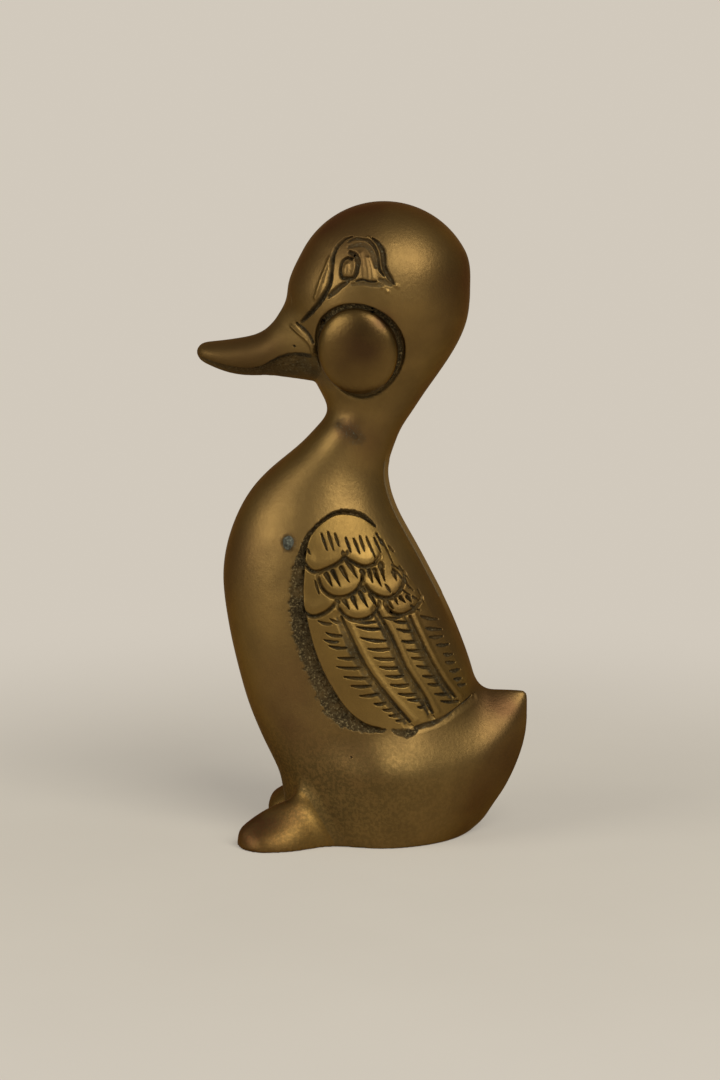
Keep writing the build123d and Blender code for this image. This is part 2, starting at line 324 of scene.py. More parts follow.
def skin_mesh():
    """Left half of the skin as points and triangles, a little past the median plane."""
    counts = np.ceil((SKIN_HIGH - SKIN_LOW) / GRID_STEP).astype(int)
    axes = [SKIN_LOW[i] + GRID_STEP * np.arange(counts[i]) for i in range(3)]
    values = np.empty(counts, np.float32)
    for i, x in enumerate(axes[0]):
        y, z = np.meshgrid(axes[1], axes[2], indexing="ij")
        values[i] = whole_field(np.c_[np.full(y.size, x), y.ravel(), z.ravel()]).reshape(y.shape)
    grid = openvdb.FloatGrid(FIELD_BAND)
    grid.copyFromArray(np.clip(values, -FIELD_BAND, FIELD_BAND))
    points, quads = grid.convertToQuads(0.0)
    points = np.asarray(points, float) * GRID_STEP + SKIN_LOW
    quads = np.asarray(quads, int)
    tris = np.vstack([quads[:, [0, 1, 2]], quads[:, [0, 2, 3]]])
    center = points[tris].mean(axis=1)
    if (face_normals(points, tris) * slope_of(center)).sum(axis=1).mean() < 0:
        tris = tris[:, ::-1]
    return points, tris


def edge_table(tris):
    """Each triangle's three edges, as numbers of unique edges, and those edges' two points."""
    edges = edges_of(tris)
    span = int(tris.max()) + 1
    keys, number = np.unique(edges.min(axis=1) * span + edges.max(axis=1), return_inverse=True)
    return number.reshape(3, -1).T, np.stack([keys // span, keys % span], axis=1)


def refine(data, tris, wanted):
    """Halves every edge whose two points are wanted."""
    number, unique = edge_table(tris)
    split = wanted[unique].all(axis=1)
    new = np.full(len(unique), -1)
    new[split] = len(data) + np.arange(split.sum())
    data = np.vstack([data, data[unique[split]].mean(axis=1)])
    mid = new[number]
    count = (mid >= 0).sum(axis=1)
    t, m = tris[count == 3], mid[count == 3]
    parts = [
        tris[count == 0],
        np.c_[t[:, 0], m[:, 0], m[:, 2]],
        np.c_[m[:, 0], t[:, 1], m[:, 1]],
        np.c_[m[:, 2], m[:, 1], t[:, 2]],
        m,
    ]
    for r in range(3):
        one = (count == 1) & (mid[:, r] >= 0)
        a, b, c, h = tris[one, r], tris[one, (r + 1) % 3], tris[one, (r + 2) % 3], mid[one, r]
        parts += [np.c_[a, h, c], np.c_[h, b, c]]
    return data, np.vstack(parts)


def clip(data, tris, level):
    """The part of a mesh where level is below zero, cut along level zero."""
    number, unique = edge_table(tris)
    inside = level < 0
    crossed = inside[unique[:, 0]] != inside[unique[:, 1]]
    a, b = unique[crossed].T
    share = (level[a] / (level[a] - level[b]))[:, None]
    new = np.full(len(unique), -1)
    new[crossed] = len(data) + np.arange(crossed.sum())
    data = np.vstack([data, data[a] * (1 - share) + data[b] * share])
    mid = new[number]
    within = inside[tris]
    count = within.sum(axis=1)
    parts = [tris[count == 3]]
    for r in range(3):
        one = (count == 1) & within[:, r]
        parts.append(np.c_[tris[one, r], mid[one, r], mid[one, (r + 2) % 3]])
        two = (count == 2) & ~within[:, r]
        p, q = tris[two, (r + 1) % 3], tris[two, (r + 2) % 3]
        before, after = mid[two, r], mid[two, (r + 2) % 3]
        parts += [np.c_[p, q, after], np.c_[p, after, before]]
    tris = np.vstack(parts)
    used, tris = np.unique(tris, return_inverse=True)
    return data[used], tris.reshape(-1, 3)


def mirrored(data, tris):
    """The same mesh on the other side of the median plane."""
    data = data.copy()
    data[:, [Y, NORMAL_Y]] *= -1
    return data, tris[:, ::-1]


def welded(data, tris):
    """A half mesh and its mirror image, joined along the median plane."""
    joint = np.abs(data[:, Y]) < WELD_GAP
    tris = tris[~joint[tris].all(axis=1)]
    other, flipped = mirrored(data, tris)
    number = np.where(joint, np.arange(len(data)), len(data) + np.cumsum(~joint) - 1)
    return np.vstack([data, other[~joint]]), np.vstack([tris, number[flipped]])


def solid(data, tris, thickness, median):
    """Closes a patch of skin with an inner skin and a rim; median keeps the inner skin on its own side."""
    inner = data.copy()
    inner[:, POINT] -= data[:, NORMAL] * thickness
    inner[:, NORMAL] *= -1
    if median is not None:
        inner[:, Y] = np.minimum(inner[:, Y], np.maximum(median, data[:, Y]))
    inner[:, Z] = np.maximum(inner[:, Z], 0.0)
    edges = edges_of(tris)
    keys = edges[:, 0] * len(data) + edges[:, 1]
    back = edges[:, 1] * len(data) + edges[:, 0]
    a, b = edges[~np.isin(keys, back)].T
    n = len(data)
    rim = np.vstack([np.c_[b, a, a + n], np.c_[b, a + n, b + n]])
    return np.vstack([data, inner]), np.vstack([tris, tris[:, ::-1] + n, rim])


# Hand-cut detail, placed by the photograph's pixels on the skin

# Rays from the camera: first distance, number of steps, closeness, least and greatest step, and pace.
RAY_START, RAY_STEPS, RAY_NEAR, RAY_STRIDE, RAY_PACE = 570.0, 90, 0.01, (-1.0, 8.0), 0.7
# Large odd numbers that scatter the noise.
HASH_AXES, HASH_SEED, HASH_MASK = np.array([374761393, 668265263, 2147483647]), 1274126177, 0xFFFFFFFF


def on_skin(pixels, field=torso_field):
    """Where the photograph's pixels meet the form, in millimetres."""
    pixels = np.atleast_2d(np.array(pixels, float))
    across, down = (pixels - [FRAME_W / 2, FRAME_H / 2]).T[:, :, None] / FOCAL
    rays = -BACK + RIGHT * across - UP * down
    rays /= np.linalg.norm(rays, axis=1)[:, None]
    reach = np.full(len(rays), RAY_START)
    best, nearest = reach.copy(), np.full(len(rays), np.inf)
    for _ in range(RAY_STEPS):
        gap = field(CAMERA_AT + rays * reach[:, None])
        closer = np.abs(gap) < nearest
        best, nearest = np.where(closer, reach, best), np.where(closer, np.abs(gap), nearest)
        if nearest.max() < RAY_NEAR:
            break
        reach = reach + np.clip(gap, *RAY_STRIDE) * RAY_PACE
    return CAMERA_AT + rays * best[:, None]


def lattice(i, seed):
    """A repeatable value from 0 to 1 at each whole-number point."""
    h = (i.astype(np.int64) @ HASH_AXES + seed * HASH_SEED) & HASH_MASK
    h = ((h ^ (h >> 13)) * HASH_SEED) & HASH_MASK
    return ((h ^ (h >> 16)) & 0xFFFF) / 0xFFFF


def noise(p, size, seed):
    """Smooth noise from -1 to 1 with lumps of the given size."""
    q = p / size
    base = np.floor(q)
    f = q - base
    f = f * f * (3 - 2 * f)
    total = np.zeros(len(p))
    for corner in range(8):
        bits = np.array([corner & 1, corner >> 1 & 1, corner >> 2 & 1])
        weight = np.prod(np.where(bits, f, 1 - f), axis=1)
        total += weight * lattice(base + bits, seed)
    return total * 2 - 1


def to_segment(p, a, b):
    """The share of a straight piece that is nearest to each point, and the distance from it."""
    run = b - a
    t = np.clip(((p - a) @ run) / max(run @ run, TINY), 0, 1)
    return t, np.linalg.norm(p - a - t[:, None] * run, axis=1)


def along_line(p, line, widths):
    """Distance of points from a line, half width there, and the side of the line that they are on."""
    best = np.full(len(p), np.inf)
    width = np.ones(len(p))
    side = np.zeros(len(p))
    for a, b, wa, wb in zip(line[:-1], line[1:], widths[:-1], widths[1:]):
        t, gap = to_segment(p, a, b)
        closer = gap < best
        best = np.where(closer, gap, best)
        width = np.where(closer, wa + (wb - wa) * t, width)
        turn = (p[:, 0] - a[0]) * (b[2] - a[2]) - (p[:, 2] - a[2]) * (b[0] - a[0])
        side = np.where(closer, np.sign(turn), side)
    return best, width, side


# Lines of the detail: place and size in millimetres, then what the three functions below add to them.
cuts, steps, swells = [], [], []
LEAST_WIDTH = 0.3


def drawn(points, sizes, field):
    """A smooth line through pixel points, cast on the form, with its sizes in millimetres."""
    if not isinstance(sizes, (list, tuple)):
        sizes = [sizes] * len(points)
    rows = np.c_[np.array(points, float), np.array(sizes, float)]
    if len(rows) > 2:
        along = np.r_[0, np.cumsum(np.linalg.norm(np.diff(rows[:, :2], axis=0), axis=1))]
        fine = np.interp(np.arange(3 * len(rows) - 1) / 3, np.arange(len(rows)), along)
        rows = np.stack([curve_through(np.c_[along, rows[:, i]])(fine) for i in range(3)], axis=1)
    return on_skin(rows[:, :2], field), np.maximum(rows[:, 2], LEAST_WIDTH) * PX


def cut(points, width, depth, grime=0.85, field=torso_field, crust=0.25):
    """A groove: half width in pixels, depth in millimetres, how dark and how crusted its dirt is."""
    cuts.append((*drawn(points, width, field), depth, grime, crust))


def step(points, depth, reach, sharp=0.28, dirt=0.9, field=torso_field, crust=0.4):
    """An edge: the skin drops on the line's right-hand side and comes back over the reach, in pixels."""
    steps.append((*drawn(points, reach, field), depth, sharp, dirt, crust))


def swell(points, width, height, field=torso_field):
    """A low ridge: half width in pixels, height in millimetres."""
    swells.append((*drawn(points, width, field), height))


def stroke(ends, widths, depth, grime=0.85, share=0.5, bow=0.0, crust=0.25):
    """A short cut from (u0, v0) to (u1, v1), bowed down by some pixels at a share of its length."""
    u0, v0, u1, v1 = ends
    middle = (u0 + share * (u1 - u0), (v0 + v1) / 2 + bow)
    cut([(u0, v0), middle, (u1, v1)], widths, depth, grime, crust=crust)


def shifted(line, du, dv):
    return [(u + du, v + dv) for u, v in line]


# Wing: rough trench against the plate's edge, as pixel points with the trench's width.
TRENCH = [
    (374, 526, 3.0), (366, 519.5, 4.8), (357, 515.5, 5.2), (345, 513.5, 5.0), (335, 514.5, 3.8),
    (325, 520, 3.5), (316, 528, 3.8), (309.5, 537, 4.8), (306, 550, 8.0), (304.5, 562, 11.5),
    (303.5, 576, 13.5), (303, 600, 16.5), (306, 617, 18.5), (311, 639, 19.0), (317.5, 659, 18.5),
    (326, 678, 19.0), (336, 695, 21.0), (346, 709, 21.0), (357, 719, 15.0), (369, 725.5, 8.5),
    (382, 728.5, 4.5),
]
step([t[:2] for t in TRENCH], depth=1.2, reach=[t[2] for t in TRENCH], sharp=0.3, crust=1.0)
WING_BACK = [
    (393, 729), (418, 727), (432, 721), (446, 713.5), (461, 703.5), (471, 695), (466, 680), (458, 664),
    (449, 648), (440, 630), (431, 612), (424, 598), (413, 582), (402, 567), (392, 551), (383, 537),
]
WING_EDGE = [t[:2] for t in TRENCH] + WING_BACK

# Scales: overlapping lobes, each with an undercut lower edge and wedge cuts.
SCALES = [
    [(304.5, 559), (308.5, 566.5), (315, 570.5), (325, 568), (335, 563.5), (341, 559), (345, 553.5)],
    [(345, 553.5), (349, 558.5), (355, 561.5), (361, 564.5), (367.5, 565), (375, 561), (378, 556)],
    [(319.5, 576), (322, 585), (327.5, 592), (337.5, 596), (347.5, 594.5), (356, 589), (360.6, 581),
     (361.5, 573)],
    [(365.5, 583), (372, 591), (381, 595.5), (389, 596.5), (396, 593), (401, 585.5), (403.5, 574)],
    [(301.5, 604.5), (305.5, 611), (312, 615), (320, 613.5), (327.5, 609.5), (335, 601.5)],
    [(339.5, 606), (344, 613), (351, 617.5), (361, 618.5), (370, 615.5), (375, 610.5), (377.5, 603)],
    [(387, 603.5), (392.5, 611), (400, 613.5), (407.5, 611.5), (415, 606), (420.5, 597.5)],
]
for line in SCALES:
    step(line, depth=0.95, reach=5.0, sharp=0.26)
    swell(shifted(line[1:-1], 0, -6.5), width=6.5, height=0.3)
# Strokes, wedges and dashes run from (u0, v0) to (u1, v1).
STROKES = [
    (321.5, 534, 327, 550), (328, 532, 333.5, 550), (335, 534, 339, 546), (346, 538, 350.4, 552),
    (354, 539, 359.4, 553), (360, 536.5, 364.4, 550.6), (366.5, 537, 375, 558),
    (374.4, 537.5, 381, 552.5), (379.4, 539, 384, 546), (307.5, 549, 310, 554), (315, 581, 319, 594),
    (389, 546, 394, 552), (386, 585, 390, 592),
]
for ends in STROKES:
    stroke(ends, widths=[1.0, 1.7, 0.8], depth=0.55)
WEDGES = [
    (326, 574, 332, 586), (332.5, 571, 340, 586), (341, 567.5, 349, 582), (350, 565, 357, 578),
    (345.5, 558, 348.5, 566), (369, 570, 372.5, 582.5), (375, 570, 381, 586), (381, 566, 385, 581),
    (394, 572, 396, 580), (344, 600, 349, 609), (352.5, 597.5, 357.5, 609), (360, 592.5, 367.5, 607),
    (371, 595, 376, 606), (386, 599, 393, 609), (394, 596, 397.5, 604), (401, 597.5, 405, 602.5),
    (408, 597, 411, 602),
]
for ends in WEDGES:
    stroke(ends, widths=[2.9, 2.0, 0.5], depth=0.85)
# Hollows between the scales: a point and a size.
HOLLOWS = [
    ((348, 563), 4.0), ((362, 571), 4.5), ((381, 564), 5.0), ((363, 588), 4.5), ((337, 600), 4.0),
    ((394, 570), 3.5), ((360, 586), 3.5),
]
for spot, size in HOLLOWS:
    cut([spot, *shifted([spot], 1.5, 2)], width=[size * 0.7, size * 0.6], depth=0.8)
# Ragged right edge of the scales.
RAGGED = [
    (377, 534, 384, 546), (382, 540, 389, 553), (386, 548, 393, 563), (393, 565, 401, 570),
    (400, 567, 408, 578), (404, 575, 409, 588), (400, 588, 410, 595), (405, 582, 413, 590),
    (413, 597, 421, 602), (418, 590, 424, 602), (411, 606, 420, 610), (397, 572, 404, 582),
]
for ends in RAGGED:
    cut([ends[:2], ends[2:]], width=[1.7, 0.8], depth=0.5, grime=0.9)

# Flight feathers: a cut groove on the right of each, rows of short dashes that run into it.
FEATHERS = [
    [(341.5, 617), (351, 639), (366, 668), (385, 694), (410, 722)],
    [(377.5, 611), (394, 642), (406, 669), (424, 696), (433, 713)],
    [(410, 616), (425, 649), (442, 679), (456, 697)],
]
for line in FEATHERS:
    inner = len(line) - 2
    step(line, depth=0.6, reach=9.0, sharp=0.26, dirt=0.35)
    cut(line, width=[1.6] + [2.5] * inner + [1.6], depth=0.8)
    cut(shifted(line, -4.5, 1.0), width=[1.0] + [4.2] * inner + [2.0], depth=0.1, grime=0.8, crust=0.4)
    swell(shifted(line, 5.0, -1.2), width=3.0, height=0.2)
DASHES = [
    (326, 633, 341, 636), (329, 646, 346, 648), (338, 658, 359, 658), (337, 667, 363, 668),
    (344, 677, 369, 678), (351, 686, 371, 686), (360, 696, 379, 694), (374, 704, 386, 703),
    (383, 710, 394, 709), (389, 716, 401, 714), (396, 721, 406, 719), (357, 627, 381, 629),
    (361, 638, 386, 641), (368, 649, 390, 649), (374, 658, 395, 659), (380, 667, 398, 668),
    (386, 676, 404, 676), (391, 685, 409, 685), (399, 694, 418, 694), (408, 700, 424, 699),
    (418, 707, 426, 706), (394, 621, 411, 622), (397, 629, 415, 631), (402, 641, 419, 641),
    (407, 650, 424, 650), (412, 658, 431, 658), (417, 666, 434, 667), (423, 676, 438, 676),
    (428, 684, 444, 684), (435, 694, 452, 693), (441, 701, 459, 701),
]
for ends in DASHES:
    stroke(ends, widths=[0.7, 1.9, 1.4], depth=0.62, share=0.45, bow=1.0)
# Dashes outside the last groove, and shorter ones under the scales.
EDGE_DASHES = [
    (421, 616, 438, 619), (426, 628, 442, 629), (430, 637, 443, 636), (437, 645, 449, 644),
    (444, 654, 453, 654), (446, 662, 455, 662), (450, 671, 460, 669), (454, 679, 462, 678),
    (458, 685, 466, 684),
]
for ends in EDGE_DASHES:
    stroke(ends, widths=[1.1, 2.5, 1.0], depth=0.5, grime=0.9, bow=0.6, crust=0.6)
SHORT_DASHES = [
    (318, 621, 331, 624), (330, 619, 342, 623), (353, 621, 376, 622), (324, 640, 338, 642),
    (383, 618, 400, 617),
]
for ends in SHORT_DASHES:
    stroke(ends, widths=[0.7, 1.9, 1.4], depth=0.5, bow=1.2)
# Lower edge of the wing: a crusted end of the trench, then a groove and a low edge up to the tail.
TRENCH_END = [(394, 731), (402, 733.5), (411, 733), (417, 730)]
cut(TRENCH_END, width=[2.2, 4.8, 4.2, 2.0], depth=0.3, crust=1.0)
LOWER_GROOVE = [(416, 728), (425, 725.5), (434, 723), (444, 718), (456, 709), (468, 699), (472, 695)]
cut(LOWER_GROOVE, width=[2.4, 3.2, 3.0, 1.9, 1.4, 1.0, 0.6], depth=0.45)
LOWER_EDGE = [(416, 726), (430, 722), (444, 716), (456, 708), (472, 695)]
step(LOWER_EDGE, depth=0.35, reach=9.0, sharp=0.5, dirt=0.2)

# Eye: outer ridge, brow channel, lids, pupil ring and bead, facets of the eyeball, lower edge.
OUTER_RIDGE = [(330, 258.7), (326.3, 267.8), (322.5, 277), (319.4, 286.2), (315.6, 297.7)]
swell(OUTER_RIDGE, width=2.4, height=0.35)
OUTER_NICK = [(326.5, 271), (323, 283)]
cut(OUTER_NICK, width=0.6, depth=0.15, grime=0.6)
BROW = [
    (352, 236.6), (346.5, 238.2), (341.6, 241.8), (336.3, 248), (333.2, 255.6), (331.7, 264.8),
    (330.9, 274), (329.4, 283.1), (325.6, 292.3), (319.4, 302.3), (309, 314), (298.6, 325),
]
BROW_WIDTHS = [0.9, 1.5, 2.2, 2.7, 2.9, 2.9, 2.9, 3.0, 3.2, 3.1, 2.7, 1.8]
cut(BROW, BROW_WIDTHS, depth=0.95, grime=0.95)
UPPER_LID = [
    (348.5, 241.5), (353.9, 238.8), (361.5, 238.8), (367.6, 240.3), (373, 244.9), (376, 250.2),
    (378, 257.9), (378.7, 264.8), (379.9, 270.1), (383.7, 275.5),
]
cut(UPPER_LID, width=[1.2] + [1.8] * 8 + [1.3], depth=0.55, grime=1.0)
RIGHT_CHANNEL = [
    (372.2, 238), (376.8, 241.8), (380.6, 246.4), (382.9, 251.8), (383.7, 259.4), (384.5, 267.1),
    (387.5, 274), (391.4, 280.1), (393.6, 283.2),
]
cut(RIGHT_CHANNEL, width=[1.3, 2.4, 2.9, 3.1, 3.1, 3.1, 3.1, 2.8, 1.8], depth=0.7, grime=1.0)
RIGHT_RIDGE = [(368.4, 237.2), (376, 244.9), (379.1, 254.1), (380.6, 261.7), (382.2, 270.1)]
swell(RIGHT_RIDGE, width=1.4, height=0.3)
UNDER_LID = [(349, 247), (356, 244.5), (364, 244.5), (370, 249), (374, 258), (376, 267)]
cut(UNDER_LID, width=[2.4, 3.2, 3.3, 3.2, 2.9, 2.2], depth=0.3, grime=0.9)
PUPIL = [
    (349.6, 251.8), (352.8, 253.8), (356.9, 258.7), (358.1, 263.3), (356.9, 269.4), (353.9, 277),
    (347.7, 278.6), (342.4, 277.8), (340.1, 272.4), (340.9, 264.8), (343.1, 260.5), (347.5, 257.8),
    (352, 258.5),
]
PUPIL_WIDTHS = [2.2, 3.0, 3.4, 3.1, 2.7, 2.4, 2.2, 2.1, 2.0, 2.0, 1.9, 1.8, 1.8]
cut(PUPIL, PUPIL_WIDTHS, depth=0.8, grime=1.0)
BEAD = [(347.3, 265), (346.8, 269.4), (346.3, 273.5)]
swell(BEAD, width=[2.8, 3.6, 2.8], height=0.45)
NEAR_FACET = [(360.0, 254), (362.0, 266), (362.5, 277)]
swell(NEAR_FACET, width=[3.0, 3.6, 3.8], height=0.22)
FAR_FACET = [(368.6, 258), (371.2, 268), (372.5, 278)]
swell(FAR_FACET, width=[1.8, 2.4, 2.8], height=0.34)
LOWER_LID = [(356.2, 281.2), (362.3, 279.7), (369.2, 281.6), (376, 281.6)]
cut(LOWER_LID, width=1.2, depth=0.5, grime=1.0)
BELOW_LID = [(352, 284.5), (362, 283.5), (372, 285), (382, 285)]
cut(BELOW_LID, width=[2.0, 2.5, 2.7, 2.5], depth=0.2, grime=0.7)
FRONT_CORNER = [(347.7, 281.6), (341.6, 285.4), (337, 289.3), (332.4, 293.1), (328.6, 296.9)]
cut(FRONT_CORNER, width=[2.0, 3.0, 3.2, 3.0, 2.2], depth=0.55, grime=0.95)
BACK_CORNER = [(380, 279.5), (386, 282.5), (391, 284.5)]
cut(BACK_CORNER, width=[2.0, 3.2, 2.6], depth=0.35, grime=0.8, crust=0.5)
BURRS = [(381.4, 287), (387.5, 291.6), (396.7, 286.2)]
for burr in BURRS:
    swell(shifted([burr], -0.3, -0.3) + shifted([burr], 0.3, 0.3), width=1.4, height=0.3)

# Bill: root lip with a groove behind it, mouth line with the lower bill set back.
BILL_LIP = [(292, 326), (302, 335), (311, 344), (313, 352)]
swell(BILL_LIP, [1.8, 2.8, 3.2, 2.2], height=0.6, field=face_field)
LIP_GROOVE = [(296, 323), (303, 328.5), (309, 335), (313, 342.5)]
cut(LIP_GROOVE, [1.2, 2.3, 2.4, 1.6], depth=0.6, grime=1.0, field=face_field)
MOUTH = [
    (310, 356), (307, 356), (295, 355), (276, 360), (262, 367), (247, 369), (225, 365.5), (210, 361),
    (203, 358),
]
MOUTH_REACH = [8, 13, 19, 26, 36, 46, 50, 50, 50]
step(MOUTH[::-1], depth=0.9, reach=MOUTH_REACH, sharp=0.3, dirt=0.62, field=face_field, crust=0.6)
cut(MOUTH, [3.0, 3.2, 3.0, 2.2, 1.7, 1.5, 1.2, 0.9, 0.6], depth=0.5, grime=1.0, field=face_field)
NOSTRIL = [(294, 346), (294.6, 346.4)]
cut(NOSTRIL, width=1.2, depth=0.4, grime=1.0, field=face_field)

# Small marks: a pit on the belly, the stain on the neck in two soft rings, a hairline on the forehead.
BELLY_PIT = [(351, 757), (351.6, 757.4)]
cut(BELLY_PIT, width=1.1, depth=0.3)
NECK_STAIN = [(339, 424), (348, 431), (359, 439)]
cut(NECK_STAIN, width=[8.0, 12.0, 8.5], depth=0.0, grime=0.5, crust=0.0)
STAIN_CORE = [(338, 423.5), (346, 430), (356, 437.5)]
cut(STAIN_CORE, width=[3.0, 5.5, 3.5], depth=0.0, grime=0.72, crust=0.0)
HAIRLINE = [(290.5, 293), (292.2, 303), (291.7, 314)]
cut(HAIRLINE, width=[0.6, 0.8, 0.6], depth=0.12, grime=0.6)

# Joint along the back, in millimetres: a low ridge on the median, and the edge of the dressed band beside it,
# painted lighter as a sheen.
BACK_LINE = [
    (24.6, 0, 44), (22.4, 0, 50), (18.8, 0, 58), (14.6, 0, 66), (11.2, 0, 72), (8.1, 0, 78), (6.4, 0, 84),
    (6.2, 0, 89),
]
BACK_SEAM = settle(np.array(BACK_LINE, float))
BACK_BAND, BAND_FADE = 3.9, 0.5
BAND_EDGE = settle(BACK_SEAM - [0, BACK_BAND, 0])[2:]
RIDGE_HEIGHT, SEAM_RIDGE, BAND_RIDGE, BAND_RIDGE_SHIFT = 0.12, 0.5, 0.7, [0, 0.8, 0]
BAND_GROOVE, BAND_DEPTH, BAND_GRIME, BAND_CRUST = 0.45, 0.1, 0.5, 0.25
swells.append((BACK_SEAM, np.full(len(BACK_SEAM), SEAM_RIDGE), RIDGE_HEIGHT))
swells.append((BAND_EDGE + BAND_RIDGE_SHIFT, np.full(len(BAND_EDGE), BAND_RIDGE), RIDGE_HEIGHT))
cuts.append((BAND_EDGE, np.full(len(BAND_EDGE), BAND_GROOVE), BAND_DEPTH, BAND_GRIME, BAND_CRUST))
# The dressed part of the back, with wider braze and a band painted lighter as a sheen: where it starts and
# ends in height, and how far back it lies.
DRESSED_SHEEN_FROM, DRESSED_SHEEN_TO, DRESSED_SHEEN_X = (48.0, 62.0), (84.0, 94.0), 3


def on_back(p):
    """1 along the spine from the neck to the tail, where the joint was smoothed and the band beside it is
    painted lighter as a sheen.
    """
    above = smooth_step(*DRESSED_SHEEN_FROM, p[:, 2])
    return above * (1 - smooth_step(*DRESSED_SHEEN_TO, p[:, 2])) * (p[:, 0] > DRESSED_SHEEN_X)


# Vent plug: a lump of solder in a shallow dish.
PLUG = on_skin([(288.5, 543)])[0]
PLUG_SIZE, PLUG_REACH = np.array([1.3, 1.8, 1.6]), 3.4
PLUG_DISH = [(287.5, 541), (288.5, 543), (289.5, 546)]
cut(PLUG_DISH, width=[8.0, 8.5, 7.5], depth=0.25, grime=0.75)
PLUG_LUMP = [(287.3, 540), (288.5, 543), (289.7, 546)]
swell(PLUG_LUMP, width=[4.6, 5.2, 4.2], height=0.85)

# Roughness of cut metal: share, size of the lumps and seed.
ROUGH = [(0.6, 0.9, 3), (0.4, 0.45, 5)]
# How far the three kinds of line reach, as shares of their width and with a margin.
SWELL_REACH, STEP_MARGIN, CUT_REACH, CUT_MARGIN = 2.5, 0.5, 1.6, 0.3
# Pairs of a plain value and what full grit adds to it, in shares of a width or a reach.
CUT_RAGGED, STEP_TORN = (0.24, 0.32), (0.0, 0.25)
STEP_FLOOR, STEP_LUMPS, STEP_CLEAN = (0.12, 0.2), (0.3, 0.3), (1.08, -0.06)
# An edge fades out at its ends; its dirt starts to thin further out where it is crusted and gritty.
END_REACH, END_SHARE = 1.6, 0.2
DIRT_NEAR, DIRT_CRUSTED, DIRT_GRITTY = 0.1, 0.45, 0.25
# Against a gritty wall the crust gives way to dark dirt and painted shade, darkest at the wall's foot.
WALL_DIRT_AND_SHADE, WALL_REACH = 0.6, (0.1, 0.75)
CUT_SIDES, CUT_DIRT = (0.3, 1.15), (0.45, 1.35)
CUT_LUMPS, LUMPY_WIDTHS = 0.25, (0.6, 1.4)
# Box round the left cheek, and how the cuts and the grit meet the button.
CHEEK_BOX_Z, CHEEK_BOX_X, CHEEK_BOX_Y = (102, 130), 14, -6
SEAT_EDGE, FLANK_RISE, CONTACT, CUTS_FADE = (-0.5, 0.5), (0.0, 0.8), (0.5, 1.7), (0.2, 2.2)
CORNER_X, CORNER_Z, CORNER_FADE = (-14.0, -11.0), (116.0, 118.0), 0.8
RING_DEPTH, RING_LUMPS, RING_CRUST = 0.15, 0.1, 0.9
# Grit and painted shade on the button's lower-left flank near its root: direction, start, rise, lumps and
# strength.
RIM_SIDE, RIM_UP, RIM_START, RIM_RISE, RIM_LUMPS, RIM_GRIT_AND_SHADE = -0.55, 0.83, (-0.1, 0.6), (0.5, 1.9), 0.4, 0.85
# Wear of the grime: plain share, cloudy share with its size and seed, and what crust adds.
WEAR, WEAR_CLOUD, WEAR_SIZE, WEAR_SEED, WEAR_CRUST = 0.82, 0.3, 2.6, 13, 0.2


def near_box(p, line, margin):
    """Numbers of the points in the box round a line."""
    low, high = line.min(axis=0) - margin, line.max(axis=0) + margin
    return np.nonzero(((p > low) & (p < high)).all(axis=1))[0]


def near_cheek(p):
    """Numbers of the points round the left cheek."""
    level = (p[:, 2] > CHEEK_BOX_Z[0]) & (p[:, 2] < CHEEK_BOX_Z[1])
    return np.nonzero(level & (np.abs(p[:, 0]) < CHEEK_BOX_X) & (p[:, 1] < CHEEK_BOX_Y))[0]


def with_grit(pair, gritty):
    return pair[0] + pair[1] * gritty


